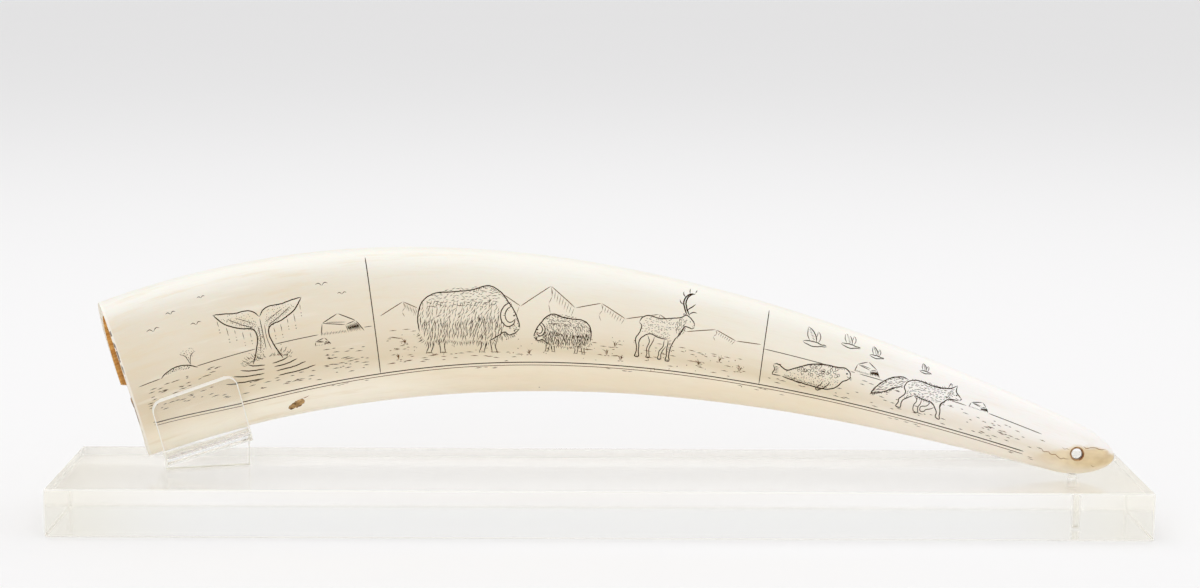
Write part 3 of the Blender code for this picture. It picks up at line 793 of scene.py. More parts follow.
def draw_peaks(g, peaks):
    """A ridge through its peaks and saddles, each peak with a broken rib and a hatched side."""
    g.straight(*peaks, width=0.36, ink="brown")
    for before, (x, y), (next_x, next_y) in zip(peaks, peaks[1:], peaks[2:]):
        if y < before[1] or y < next_y:
            continue
        g.straight((x, y), (x + 1, y * 0.72), (x - 0.8, y * 0.5), (x + 0.6, y * 0.24), width=0.26,
                   ink="brown")
        g.hatch([(x + 0.5, y - 0.6), (next_x, next_y)], [(x + 0.2, y * 0.66),
                (next_x - 1.8, next_y * 0.3)], 9, width=0.24, ink="brown")


def draw_tufts(g, places, size, ink="brown"):
    """Tufts of sedge: blades that fan out from one root, over a short shadow."""
    for x, y in places:
        for lean in g.chance.uniform(-0.8, 0.8, 6):
            reach = size * g.chance.uniform(0.6, 1.2)
            g.cut([(x + lean * 0.5, y), (x + lean * reach * 0.35, y + reach * 0.6),
                  (x + lean * reach, y + reach * (1 - 0.25 * abs(lean)))], 0.34, ink)
        g.dash([(x - 0.8, y - 0.2), (x + 1.1, y - 0.1)], 0, 1.8, 0.3, ink)


def draw_ground(g, low, high, count, length=4, ink="brown"):
    """Level dashes over a strip, given by two opposite corners."""
    g.dash(g.chance.uniform(low, high, (count, 2)), g.chance.normal(0, 0.035, count),
           length * g.chance.uniform(0.4, 1.3, count), 0.32, ink, bow=0.04)


def draw_gulls(g, places):
    """Gulls far off: two bowed strokes that meet."""
    for x, y, size in places:
        for side in (-1, 1):
            g.cut(through([(x, y), (x + side * size * 0.5, y + size * 0.48),
                  (x + side * size * 1.05, y + size * 0.3)], 0.5), 0.34)


LOWER_RULE = [
    (6, -25.6), (60, -29.6), (125, -27.6), (200, -23.4), (280, -19.6), (360, -16.2), (440, -12.8),
    (506, -10.4),
]


def draw_rules(g):
    """The border along the foot of the scenes: a ruled line, and a finer one just below it."""
    g.at(0, 0)
    g.cut(through(LOWER_RULE), 0.42)
    g.cut(through([(x, y - 1.5) for x, y in LOWER_RULE]), 0.28, "brown")
    for x, y in LOWER_RULE[2:]:
        g.dash(np.array([x, y - 2.6]) + g.chance.normal(0, [6, 0.3], (5, 2)), 0.04, 3.5, 0.24,
               "brown")


def draw_front(g):
    """Three scenes between ruled lines: flukes at sea, musk oxen inland, seals on the ice."""
    draw_rules(g)
    g.cut(through([(136, 41), (137.2, 10), (139, -27)]), 0.42)
    g.cut(through([(352, 29), (353.6, 6), (355.5, -16.6)]), 0.40)

    g.at(77, -10, 1.30)
    draw_flukes(g)
    g.at(28, -5, 0.85)
    draw_whale_back(g)
    g.at(108, -3, 1)
    draw_ice(g, 24, 11)
    g.at(104, -8, 1)
    draw_ice(g, 9, 4, lean=0.9)
    g.at(0, 0)
    g.cut(through([(5, -5), (60, -3.6), (136.6, -0.8)]), 0.32)
    draw_gulls(g, [(22, 20, 3.4), (33, 26, 2.6), (44, 17, 2.8), (112, 24, 3.2), (122, 18, 2.4),
               (50, 30, 2)])
    for low, high, count in (
        ((8, -22), (50, -7), 50),
        ((104, -24), (134, -10), 40),
        ((48, -26), (104, -20), 24),
    ):
        draw_ground(g, low, high, count, ink="black")

    g.at(160, -18, 1.20)
    draw_musk_ox(g)
    g.at(259, -16, 0.68, flip=True)
    draw_musk_ox(g)
    g.at(281, -13.5, 0.86)
    draw_caribou(g)
    g.at(142, 0)
    draw_peaks(g, [(-1, 4), (12, 11), (20, 7), (34, 15), (46, 10), (62, 17), (76, 8), (92, 20),
               (106, 9), (120, 13), (134, 6), (152, 11), (168, 4), (184, 8), (196, 4), (210, 5)])
    g.at(0, 0)
    draw_tufts(g, [(150, -20), (154, -12), (224, -18), (229, -9), (268, -15), (272, -10),
               (320, -13), (331, -9), (343, -12), (276, -17)], 3.4)
    for low, high, count in (
        ((144, -22), (222, -17), 36),
        ((144, -16), (160, -4), 16),
        ((220, -16), (346, -4), 70),
    ):
        draw_ground(g, low, high, count)
    g.dots(g.chance.uniform((144, -20), (348, -5), (90, 2)), ink="brown")

    g.at(366, -10.5, 1.06)
    draw_seal(g)
    g.at(428, -9, 0.96)
    draw_fox(g)
    g.at(405, 3, 0.8)
    draw_ice(g, 18, 9)
    g.at(470, 2.6, 0.8)
    draw_ice(g, 14, 6, lean=0.8)
    for x, y, size in ((376, 12, 0.80), (396, 16, 0.66), (412, 14, 0.5), (440, 13.5, 0.42)):
        g.at(x, y, size, turn=-4)
        draw_goose(g)
    g.at(0, 0)
    g.cut(through([(353.8, 3), (420, 2.5), (470, 3), (512, 1.6)]), 0.32)
    draw_ground(g, (358, -13.5), (428, 1), 46, length=3.4, ink="black")
    draw_ground(g, (428, -11), (500, 1), 50, length=3.4, ink="black")
    draw_ground(g, (480, -8), (514, 0), 22, length=3)
    draw_wear(g)


def draw_wear(g):
    """What age has done to the ivory: fine cracks at the tip, and a chip in the foot."""
    g.at(0, 0)
    for points, width in (
        ([(514, -5.4), (516, -6.7), (518.4, -6.3), (520, -6.9), (522.5, -6.3), (525, -7.3),
          (528, -6.7), (530, -6.2)], 0.36),
        ([(524.2, -1), (525.6, -1.8), (527.2, -1.4), (528.9, -1.2)], 0.3),
        ([(534.6, 2.9), (536, 2.2), (538.6, 2.6), (541, 3.6), (543, 3.1), (545.4, 3.9),
          (547.4, 4.1)], 0.4),
        ([(541.5, -5.6), (543.4, -6.6), (544.2, -5.8)], 0.3),
    ):
        g.line(*points, width=width, ink="crack", wobble=0.16)
    chip = [(83.6, -38.9), (85.6, -38.2), (88.4, -37.4), (91.2, -36.8), (93.4, -35.6)]
    chip = through(chip, 0.55)
    length, wide = (83.6, 84.6, 87.4, 89.4, 91.6, 93.4), (1, 2.1, 3.3, 4.2, 3.1, 1.2)
    width = np.interp(chip[:, 0], length, wide)
    chip[1:-1] += g.chance.normal(0, 0.16, (len(chip) - 2, 2))
    g.cut(chip, width * g.chance.uniform(0.78, 1.12, len(chip)), "pit", taper=0.6, steepness=0.45)
    g.cut([(92.4, -34.6), (94.4, -34.4), (97, -33.6)], 0.5, "crack")


def draw_back(g):
    """The far side: ruled lines, a ridge of peaks and a flight of geese."""
    draw_rules(g)
    for x, y, size in (
        (150, 8, 1.1), (178, 14, 0.95), (204, 4, 1),
        (232, 12, 0.85), (262, 3, 0.9), (292, 8, 0.75),
    ):
        g.at(x, y, size, turn=-5)
        draw_goose(g)
    g.at(60, -16)
    draw_peaks(g, [(0, 0), (16, 7), (28, 3), (46, 13), (64, 5), (82, 10), (104, 2), (130, 7),
               (160, 1)])
    g.at(0, 0)
    for low, high, count in (
        ((20, -26), (125, -19), 40),
        ((125, -22), (210, -15), 34),
        ((210, -18), (330, -12), 40),
    ):
        draw_ground(g, low, high, count)
    draw_tufts(g, [(74, -22), (120, -20), (190, -16), (250, -14), (310, -12)], 3.2)


# Tusk mesh

IVORY, CUT_FACE, CAVITY_WALL, HOLE_WALL, FIRST_INK = 0, 1, 2, 3, 4


class Shell:
    """Vertices and faces of the tusk, gathered piece by piece."""

    def __init__(self):
        self.points, self.normals, self.straight = [], [], []
        self.faces, self.finishes = [], []
        self.count = 0

    def add_points(self, points, normals, straight):
        """Adds vertices and returns their numbers, in the shape of the points' grid."""
        grid = points.shape[:-1]
        self.points.append(points.reshape(-1, 3))
        self.normals.append(normals.reshape(-1, 3))
        self.straight.append(straight.reshape(-1, 3))
        number = self.count + np.arange(points.size // 3).reshape(grid)
        self.count += number.size
        return number

    def add_faces(self, corners, finish):
        corners = np.asarray(corners)
        self.faces += corners.tolist()
        self.finishes.append(np.broadcast_to(finish, len(corners)))

    def add_grid(self, number, finish, closed=True):
        """Quads between the rows of a grid of vertex numbers, outward when rows run to the tip."""
        across = np.roll(number, -1, axis=1) if closed else number[:, 1:]
        near = number if closed else number[:, :-1]
        corners = together(near[:-1], near[1:], across[1:], across[:-1])
        self.add_faces(corners.reshape(-1, 4), finish)


def on_skin(u, angle, depth=0.0):
    """Point, normal and straightened place (length, across, up) of the skin, cut in by a depth."""
    across, upward = section_point(u, angle)
    normal = skin_normal(u, angle)
    point = skin(u, angle) - normal * np.asarray(depth)[..., None]
    return point, normal, together(u, across, upward)


def hole_axis():
    """The drilled hole's middle, direction towards the viewer, and two axes across it."""
    u = np.array(TUSK_LENGTH - HOLE_FROM_TIP)
    centre = middle(u) - HOLE_DROP * section_axes(u)[1]
    way = unit(np.array((-math.sin(HOLE_SWING), -math.cos(HOLE_SWING), math.tan(HOLE_RISE))))
    right = unit(np.cross(way, [0.0, 0.0, -1.0]))
    return centre, way, right, np.cross(way, right)


def hole_mouth(facing):
    """Where the worn hole's edge meets the skin, as length and height, found by Newton's steps."""
    centre, way, right, up = hole_axis()
    wanted = HOLE_WORN_RADIUS * circle(even_turns(HOLE_SIDES))

    def missing(place):
        offset = skin(place[:, 0], angle_at(place[:, 0], place[:, 1], facing)) - centre
        return together(offset @ right, offset @ up) - wanted

    place = np.tile([TUSK_LENGTH - HOLE_FROM_TIP, -HOLE_DROP], (HOLE_SIDES, 1)) + wanted * 0.1
    for _ in range(MOUTH_STEPS):
        here = missing(place)
        nudges = np.eye(2) * MOUTH_NUDGE
        slopes = together(*((missing(place + nudge) - here) / MOUTH_NUDGE for nudge in nudges))
        place = place - np.linalg.solve(slopes, here[..., None])[..., 0]
    return place


def add_broad_side(shell, facing, graver, border, border_places):
    """One broad side: a triangulation of its border, its strokes and a grid of plain points.

    The triangulation is made in the side's own plane, in millimetres of length and height, and
    every point is then set on the skin and lowered by the depth of its groove.
    """
    mouth = hole_mouth(facing) / MM
    strokes, stroke_edges = graver.vertices_and_edges()
    rows = np.arange(2 * ROW_LENGTH, CAP_START - ROW_LENGTH / 2, ROW_LENGTH)
    turns = np.linspace(-1, 1, SIDE_STEPS + 1)[1:-1] * math.asin(SIDE_REACH ** (SECTION_POWER / 2))
    u = np.repeat(rows[:, None], len(turns), axis=1)
    u = u + root_edge(turns if facing > 0 else math.pi - turns) * (1 - u / TUSK_LENGTH) ** RIM_FADE
    height, _ = section_sizes(u)
    plain = together(u, signed_power(np.sin(turns), 2 / SECTION_POWER) * height)
    plain = plain.reshape(-1, 2) / MM
    near_depth, _ = graver.depth_and_ink(plain)
    clear = near_depth < -GROOVE_STEEPNESS * FILL_CLEARANCE
    clear &= np.linalg.norm(plain - mouth.mean(axis=0), axis=1) > HOLE_WORN_RADIUS / MM + 1
    plain = plain[clear]
    sets = [border_places / MM, mouth, strokes, plain]
    starts = np.concatenate([[0], np.cumsum([len(part) for part in sets])])
    ring = np.arange(len(border))
    hole_ring = starts[1] + np.arange(HOLE_SIDES)
    edges = np.vstack([
        together(ring, np.roll(ring, -1)),
        together(hole_ring, np.roll(hole_ring, -1)),
        stroke_edges + starts[2],
    ])
    points = np.vstack(sets).tolist()
    made = delaunay_2d_cdt(points, edges.tolist(), [], INSIDE_BORDER, SAME_POINT, True)
    places, faces, origins = np.array(made[0]), np.array(made[2]), made[3]
    source = np.array([origin[0] if origin else -1 for origin in origins])
    at_border = (source >= 0) & (source < len(border))
    at_mouth = (source >= starts[1]) & (source < starts[2])
    depth, _ = graver.depth_and_ink(places)
    depth = np.where(at_border | at_mouth, 0, np.clip(depth, 0, None)) * MM
    u, upward = places[:, 0] * MM, places[:, 1] * MM
    number = np.full(len(places), -1)
    number[at_border] = border[source[at_border]]
    fresh = np.flatnonzero(~at_border)
    angle = angle_at(u[fresh], upward[fresh], facing)
    number[fresh] = shell.add_points(*on_skin(u[fresh], angle, depth[fresh]))
    centres = places[faces].mean(axis=1)
    kept = inside_loop(centres, border_places / MM) & ~inside_loop(centres, mouth)
    faces, centres = faces[kept], centres[kept]
    inside, ink = graver.depth_and_ink(centres)
    finish = np.where(inside > INKED_DEPTH, FIRST_INK + ink, IVORY)
    corners = number[faces]
    shell.add_faces(corners if facing > 0 else corners[:, ::-1], finish)
    mouth_number = np.full(HOLE_SIDES, -1)
    mouth_number[source[at_mouth] - starts[1]] = number[at_mouth]
    return mouth_number


def add_hole_wall(shell, front_mouth, back_mouth):
    """The drilled hole from mouth to mouth: straight, then flaring as a parabola at both ends."""
    centre, way, right, up = hole_axis()
    points = np.vstack(shell.points)
    turn = even_turns(HOLE_SIDES)
    front = (points[front_mouth] - centre) @ way
    back = (points[back_mouth] - centre) @ way
    share = np.linspace(0, 1, HOLE_ROWS + 2)[1:-1, None]
    share = share - HOLE_ROW_SHIFT * np.sin(2 * math.pi * share)
    reach = front * (1 - share) + back * share
    from_mouth = np.minimum(front - reach, reach - back)
    worn = (1 - np.clip(from_mouth / HOLE_WORN_DEPTH, 0, 1)) ** 2
    radius = HOLE_RADIUS + (HOLE_WORN_RADIUS - HOLE_RADIUS) * worn
    outward = np.cos(turn)[:, None] * right + np.sin(turn)[:, None] * up
    ring = centre + reach[..., None] * way + radius[..., None] * outward
    zero = np.zeros_like(ring)
    inner = shell.add_points(ring, zero, zero + [TUSK_LENGTH, 0, 0])
    rows = np.vstack([front_mouth, inner, back_mouth])
    shell.add_grid(rows[:, ::-1], HOLE_WALL)


def make_tusk():
    """The whole tusk as one closed mesh, which takes the solid's place.

    Rows behind the rim follow it, and grow square by a power of the share of the length. Rows of
    the rounded end follow a sine. The rim is the section drawn in by shares of the wall, with
    its roughness under half a sine wave. The cavity is the section drawn in by the whole wall
    and shrunk by the square root of one less a power of the share of its depth.
    """
    side_turn = math.asin(SIDE_REACH ** (SECTION_POWER / 2))
    broad = np.linspace(-side_turn, side_turn, SIDE_STEPS + 1)[1:-1]
    narrow = np.linspace(side_turn, math.pi - side_turn, NARROW_STEPS + 1)
    angle = np.concatenate([broad, narrow, broad + math.pi, narrow + math.pi])
    first_narrow, last_narrow = len(broad), len(broad) + NARROW_STEPS
    first_foot, last_foot = last_narrow + len(broad) + 1, len(angle) - 1
    shell = Shell()

    # Narrow sides, rim ring and end ring
    lengths = np.append(np.arange(0, CAP_START - ROW_LENGTH / 2, ROW_LENGTH), CAP_START)
    u = lengths[:, None] + root_edge(angle) * (1 - lengths[:, None] / TUSK_LENGTH) ** RIM_FADE
    point, normal, straight = on_skin(u, angle + 0 * u)
    whole = np.ones(u.shape, bool)
    whole[1:-1] = False
    whole[:, first_narrow : last_narrow + 1] = True
    whole[:, first_foot:] = True
    number = np.full(u.shape, -1)
    number[whole] = shell.add_points(point[whole], normal[whole], straight[whole])
    shell.add_grid(number[:, first_narrow : last_narrow + 1], IVORY, closed=False)
    shell.add_grid(number[:, first_foot:], IVORY, closed=False)
    height = straight[..., 2]

    # Broad sides, engraved
    for facing, low, high in ((1, last_foot, first_narrow), (-1, first_foot, last_narrow)):
        columns = np.arange(len(broad))
        if facing < 0:
            columns = (last_narrow + 1 + columns)[::-1]
        row = np.concatenate([
            np.arange(len(lengths)),
            np.full(len(broad), len(lengths) - 1),
            np.arange(len(lengths))[::-1],
            np.zeros(len(broad), int),
        ])
        column = np.concatenate([
            np.full(len(lengths), low), columns, np.full(len(lengths), high), columns[::-1],
        ])
        border = number[row, column]
        places = together(u[row, column], height[row, column])
        graver = Engraving(facing)
        (draw_front if facing > 0 else draw_back)(graver)
        mouth = add_broad_side(shell, facing, graver, border, places)
        if facing > 0:
            front_mouth = mouth
    add_hole_wall(shell, front_mouth, mouth)

    # Rounded end
    turn = np.linspace(0, 1, CAP_ROWS + 1)[1:-1, None]
    start = math.asin(into_rounded_end(np.array(CAP_START)))
    end = TUSK_LENGTH - TIP_ROUND + TIP_ROUND * np.sin(start + (math.pi / 2 - start) * turn)
    point, normal, straight = on_skin(end + 0 * angle, angle + 0 * end)
    cap = np.vstack([number[-1], shell.add_points(point, normal, straight)])
    shell.add_grid(cap, IVORY)
    tip = np.array(TUSK_LENGTH)
    pole = shell.add_points(middle(tip)[None], tangent(tip)[None], np.array([[TUSK_LENGTH, 0, 0]]))
    last = cap[-1]
    shell.add_faces(together(last, np.full_like(last, pole[0]), np.roll(last, -1)), IVORY)

    # Sawn face of the rim and the cavity's wall
    edge = root_edge(angle)
    broken = edge - saw_cut(angle) > BREAK_DEPTH / 2
    ring_share = np.linspace(0, 1, RIM_RINGS + 1)[1:, None]
    rough = ripple(
        angle * 31 + ring_share * 9, angle * 57 - ring_share * 14, angle * 83 + ring_share * 5
    )
    rough = rough * np.where(broken, BROKEN_ROUGHNESS, SAWN_ROUGHNESS)
    lift = rough * np.sin(math.pi * ring_share / ROUGHNESS_SPAN)
    rim_u = edge + lift
    across, upward = section_point(rim_u, angle + 0 * rim_u, inset=ROOT_WALL * ring_share)
    rim_points = in_section(rim_u, across, upward)
    rim = shell.add_points(rim_points, 0 * rim_points, together(rim_u, across, upward))
    face = np.vstack([number[0], rim])
    shell.add_grid(face[:, ::-1], CUT_FACE)
    depth = np.linspace(0, 1, CAVITY_ROWS + 1)[1:-1, None]
    wall_u = edge * (1 - depth) ** CAVITY_RIM_FADE + depth * CAVITY_DEPTH
    growth = ripple(wall_u * 900 + 2 * angle, wall_u * 1400, 9 * angle + wall_u * 60)
    wall = ROOT_WALL + GROWTH_RIPPLE * growth
    closing = np.sqrt(1 - depth**CAVITY_BLUNTNESS)
    across, upward = section_point(wall_u, angle + 0 * wall_u, inset=wall, shrink=closing)
    wall_points = in_section(wall_u, across, upward)
    inner = shell.add_points(wall_points, 0 * wall_points, together(wall_u, across, upward))
    hollow = np.vstack([rim[-1], inner])
    shell.add_grid(hollow[:, ::-1], CAVITY_WALL)
    bottom = middle(np.array(CAVITY_DEPTH))[None]
    pole = shell.add_points(bottom, 0 * bottom, np.array([[CAVITY_DEPTH, 0, 0]]))
    last = hollow[-1]
    shell.add_faces(together(last, np.roll(last, -1), np.full_like(last, pole[0])), CAVITY_WALL)
    return shell


def into_scene(name, data):
    made = bpy.data.objects.new(name, data)
    bpy.context.scene.collection.objects.link(made)
    return made


def build_tusk(name, shell, finishes):
    """The mesh of a shell, with the skin's own normals and sharp edges between finishes."""
    mesh = bpy.data.meshes.new(name)
    mesh.from_pydata(np.vstack(shell.points).tolist(), [], shell.faces)
    for finish in finishes:
        mesh.materials.append(finish)
    slot = np.concatenate(shell.finishes)
    mesh.polygons.foreach_set("material_index", slot.astype(np.int32))
    mesh.polygons.foreach_set("use_smooth", np.ones(len(slot), bool))
    places = np.vstack(shell.straight)
    straight = mesh.attributes.new("straight", "FLOAT_VECTOR", "POINT")
    straight.data.foreach_set("vector", places.astype(np.float32).ravel())
    rise = mesh.attributes.new("rise", "FLOAT", "POINT")
    half_height = np.maximum(section_sizes(places[:, 0])[0], MM)
    rise.data.foreach_set("value", (places[:, 2] / half_height).astype(np.float32))
    corner_vertex = np.zeros(len(mesh.loops), np.int32)
    corner_edge = np.zeros(len(mesh.loops), np.int32)
    sides = np.zeros(len(mesh.polygons), np.int32)
    mesh.loops.foreach_get("vertex_index", corner_vertex)
    mesh.loops.foreach_get("edge_index", corner_edge)
    mesh.polygons.foreach_get("loop_total", sides)
    corner_slot = np.repeat(slot, sides)
    least = np.full(len(mesh.edges), len(finishes))
    most = np.full(len(mesh.edges), -1)
    np.minimum.at(least, corner_edge, corner_slot)
    np.maximum.at(most, corner_edge, corner_slot)
    mesh.edges.foreach_set("use_edge_sharp", least != most)
    normals = np.vstack(shell.normals)[corner_vertex]
    normals[corner_slot != IVORY] = 0
    mesh.normals_split_custom_set(normals.tolist())
    mesh.update()
    return into_scene(name, mesh)


# Materials

class Signal:
    """A socket of a material's nodes, with Python's operators for its maths."""

    def __init__(self, finish, socket):
        self.finish = finish
        self.socket = socket

    def maths(self, operation, *values, clamp=False):
        settings = {"operation": operation, "use_clamp": clamp}
        return self.finish.node("Math", settings, dict(enumerate(values)))

    def __add__(self, other):
        return self.maths("ADD", self, other)

    def __sub__(self, other):
        return self.maths("SUBTRACT", self, other)

    def __rsub__(self, other):
        return self.maths("SUBTRACT", other, self)

    def __mul__(self, other):
        return self.maths("MULTIPLY", self, other)

    __radd__ = __add__
    __rmul__ = __mul__

    def clamped(self):
        return self.maths("ADD", self, 0.0, clamp=True)

    def between(self, low, high):
        """0 at low and 1 at high, smoothly."""
        values = {"Value": self, "From Min": low, "From Max": high}
        return self.finish.node("MapRange", {"interpolation_type": "SMOOTHSTEP"}, values)


class Finish:
    """One material: a Principled shader, and a method that adds any node in front of it."""

    def __init__(self, name, **uniform):
        self.material = bpy.data.materials.new(name)
        self.material.use_nodes = True
        self.nodes = self.material.node_tree.nodes
        self.links = self.material.node_tree.links
        self.shader = self.nodes["Principled BSDF"]
        for socket, value in uniform.items():
            self.put(value, self.shader.inputs[socket.replace("_", " ")])

    def put(self, value, socket):
        if isinstance(value, Signal):
            self.links.new(value.socket, socket)
        elif isinstance(value, tuple) and socket.type == "RGBA":
            socket.default_value = (*value, 1)
        else:
            socket.default_value = value

    def node(self, kind, settings=None, inputs=None, output=0):
        """A node of a kind, its settings made first, then its sockets' values or links."""
        made = self.nodes.new("ShaderNode" + kind)
        for setting, value in (settings or {}).items():
            if setting == "stops":
                self.set_stops(made.color_ramp, value)
            else:
                setattr(made, setting, value)
        for socket, value in (inputs or {}).items():
            self.put(value, made.inputs[socket])
        return Signal(self, made.outputs[output])

    def set_stops(self, ramp, stops):
        while len(ramp.elements) < len(stops):
            ramp.elements.new(1.0)
        for element, (place, colour) in zip(ramp.elements, stops):
            element.position = place
            element.color = (*colour, 1)

    def mix(self, factor, first, second):
        return self.node("Mix", {"data_type": "RGBA"}, {0: factor, 6: first, 7: second}, output=2)

    def stretched(self, place, *scale):
        return self.node("VectorMath", {"operation": "MULTIPLY"}, {0: place, 1: scale})

    def noise(self, place, scale=1.0, detail=3.0, roughness=0.5):
        """Cloudy noise between 0 and 1, mostly near a half."""
        inputs = {"Vector": place, "Scale": scale, "Detail": detail, "Roughness": roughness}
        return self.node("TexNoise", None, inputs)

    def specks(self, place, scale, size):
        """1 in rare round specks and 0 outside: a cell's middle, in cells of high colour."""
        cell = {"Vector": place, "Scale": scale}
        away = self.node("TexVoronoi", None, cell)
        pick = self.node("TexVoronoi", None, cell, output=1)
        red = self.node("SeparateColor", None, {"Color": pick})
        return (1 - away.between(size * 0.6, size)) * red.between(0.80, 0.82)

    def parts(self, place):
        return [self.node("SeparateXYZ", None, {0: place}, output=axis) for axis in range(3)]

    def bump(self, height, distance, strength=1.0):
        inputs = {"Height": height, "Distance": distance, "Strength": strength}
        self.put(self.node("Bump", None, inputs), self.shader.inputs["Normal"])

    def paint(self, colour):
        self.put(colour, self.shader.inputs["Base Color"])

    def gloss(self, roughness):
        self.put(roughness, self.shader.inputs["Roughness"])

    def object_place(self):
        return self.node("TexCoord", None, None, output=3)

    def straight_place(self):
        """Place on the tusk as if it were straight: length, across, up."""
        return self.node("Attribute", {"attribute_name": "straight"}, None, output=1)

    def rise(self):
        """Height on the tusk's section, from -1 at its foot to 1 at its top."""
        return self.node("Attribute", {"attribute_name": "rise"}, None, output=2)


# Where the ivory changes, in metres along the tusk, or across its middle
ROOT_THIRD = 0.06, 0.24
RIM_BAND = 0.010, 0.030
FOOT_STARTS = 0.12, 0.22
WHITER_STARTS = 0.24, 0.42
WHITEST_STARTS = 0.38, 0.46
STAIN_STARTS = 0.500, 0.522
STAIN_CLIMBS = 0.508, 0.540
STAIN_DEEPENS = 0.522, 0.540
STAIN_DEPTH = 0.0085
STAIN_CLIMB = 0.0125
STAIN_WAVER = 0.007
LIP_ENDS = 0.0007, 0.0016
NICKS_END = 0.0004, 0.0009

# Its colours
# Tones from the foot to the top of the section. The palest stops, at the foot, are partly painted
# light from below.
HONEY_BANDS_AND_PAINTED_FOOT_LIGHT = [
    (0.08, (0.95, 0.88, 0.74)), (0.17, (0.90, 0.81, 0.65)), (0.30, (0.74, 0.63, 0.45)),
    (0.48, (0.80, 0.71, 0.56)), (0.72, (0.82, 0.76, 0.635)), (0.88, (0.86, 0.84, 0.77)),
]
ROOT_TAN = 0.68, 0.575, 0.42
FOOT_CREAM = 0.84, 0.72, 0.53
UPPER_WHITE = 0.88, 0.845, 0.765
TIP_WHITE = 0.92, 0.895, 0.88
STREAK_TAN = 0.74, 0.585, 0.355
STREAK_PALE = 0.90, 0.86, 0.77
FIBRE_TAN = 0.70, 0.58, 0.38
STAIN_DARK = 0.60, 0.43, 0.20
STAIN_PALE = 0.785, 0.615, 0.345
SPECK_BROWN = 0.20, 0.12, 0.06
LIP_PALE = 0.92, 0.90, 0.85
NICK_DARK = 0.10, 0.055, 0.03


def ivory_finish():
    """Polished ivory: white on top, a honey band below its middle, and paler again at its foot.

    The foot's paleness is partly painted light from below.

    The root third is tanner, most of all beside the rim. Past the tusk's middle its upper side
    grows whiter, and towards the tip all of it does. Clouds and streaks are noise drawn out along
    the tusk, strongest in the root third. The tip's brown stain lies under a line that climbs as
    a smooth step of the length, and wavers. It thins towards the foot and deepens towards the
    tip. The rim has a pale lip, with dark nicks above its middle.
    """
    ivory = Finish("polished_ivory", IOR=1.54, Subsurface_Weight=0.10, Subsurface_Scale=0.003)
    place, rise = ivory.straight_place(), ivory.rise()
    along, _, upward = ivory.parts(place)
    clouds = ivory.noise(ivory.stretched(place, 14, 42, 42), detail=3)
    streaks = ivory.noise(ivory.stretched(place, 26, 210, 210), detail=4, roughness=0.6)
    fibre = ivory.noise(ivory.stretched(place, 90, 1500, 1500), detail=2)
    rooty = 1 - along.between(*ROOT_THIRD)
    height = rise * 0.5 + 0.5 + (clouds - 0.5) * 0.14
    # the ramp's pale foot is partly painted light from below
    colour = ivory.node("ValToRGB", {"stops": HONEY_BANDS_AND_PAINTED_FOOT_LIGHT}, {"Fac": height})
    waist = rise.between(-0.85, -0.45) * (1 - rise.between(0.55, 0.95))
    by_rim = 1 - along.between(*RIM_BAND)
    colour = ivory.mix(waist * (rooty * 0.45 + by_rim * 0.08), colour, ROOT_TAN)
    foot = along.between(*FOOT_STARTS) * (1 - rise.between(-0.8, -0.5))
    colour = ivory.mix(foot * 0.8, colour, FOOT_CREAM)
    whiter = along.between(*WHITER_STARTS) * rise.between(-0.35, 0.4)
    colour = ivory.mix(whiter * 0.6, colour, UPPER_WHITE)
    whitest = along.between(*WHITEST_STARTS) * (rise.between(-0.6, 0.3) * 0.4 + 0.4)
    colour = ivory.mix(whitest, colour, TIP_WHITE)
    tan = (streaks.between(0.50, 0.72) * (0.10 + 0.26 * rooty)).clamped()
    colour = ivory.mix(tan, colour, STREAK_TAN)
    pale = (1 - streaks.between(0.28, 0.46)) * (0.10 + 0.22 * rooty)
    colour = ivory.mix(pale, colour, STREAK_PALE)
    colour = ivory.mix(fibre.between(0.52, 0.75) * 0.10, colour, FIBRE_TAN)

    # Stain and specks
    waver = ivory.noise(ivory.stretched(place, 110, 160, 160), detail=3) - 0.5
    climb = upward + STAIN_DEPTH - along.between(*STAIN_CLIMBS) * STAIN_CLIMB
    line = climb + waver * STAIN_WAVER
    stain = (1 - line.between(-0.0022, 0.0008)) * (along + waver * 0.008).between(*STAIN_STARTS)
    stain = stain * (1 - (rise * -1).between(0.55, 0.98) * 0.75)
    patchy = ivory.noise(ivory.stretched(place, 90, 160, 160), detail=4)
    stain_colour = ivory.mix(patchy.between(0.35, 0.68), STAIN_DARK, STAIN_PALE)
    strength = stain * (along.between(*STAIN_DEEPENS) * 0.25 + 0.6)
    colour = ivory.mix(strength, colour, stain_colour)
    colour = ivory.mix(ivory.specks(place, 95, 0.055) * 0.75, colour, SPECK_BROWN)

    # Lip and nicks of the rim
    from_rim = along - upward * math.tan(ROOT_CUT_TILT)
    colour = ivory.mix((1 - from_rim.between(*LIP_ENDS)) * 0.6, colour, LIP_PALE)
    nicks = ivory.noise(ivory.stretched(place, 300, 150, 260), detail=3).between(0.47, 0.54)
    nicks = nicks * (1 - from_rim.between(*NICKS_END)) * upward.between(-0.002, 0.010)
    nicks = nicks * (1 - upward.between(0.026, 0.034)) * 0.9
    ivory.paint(ivory.mix(nicks, colour, NICK_DARK))
    ivory.gloss(0.24 + streaks * 0.14 + stain * 0.08)
    ivory.bump(fibre * 0.4 + streaks, distance=0.00009)
    return ivory


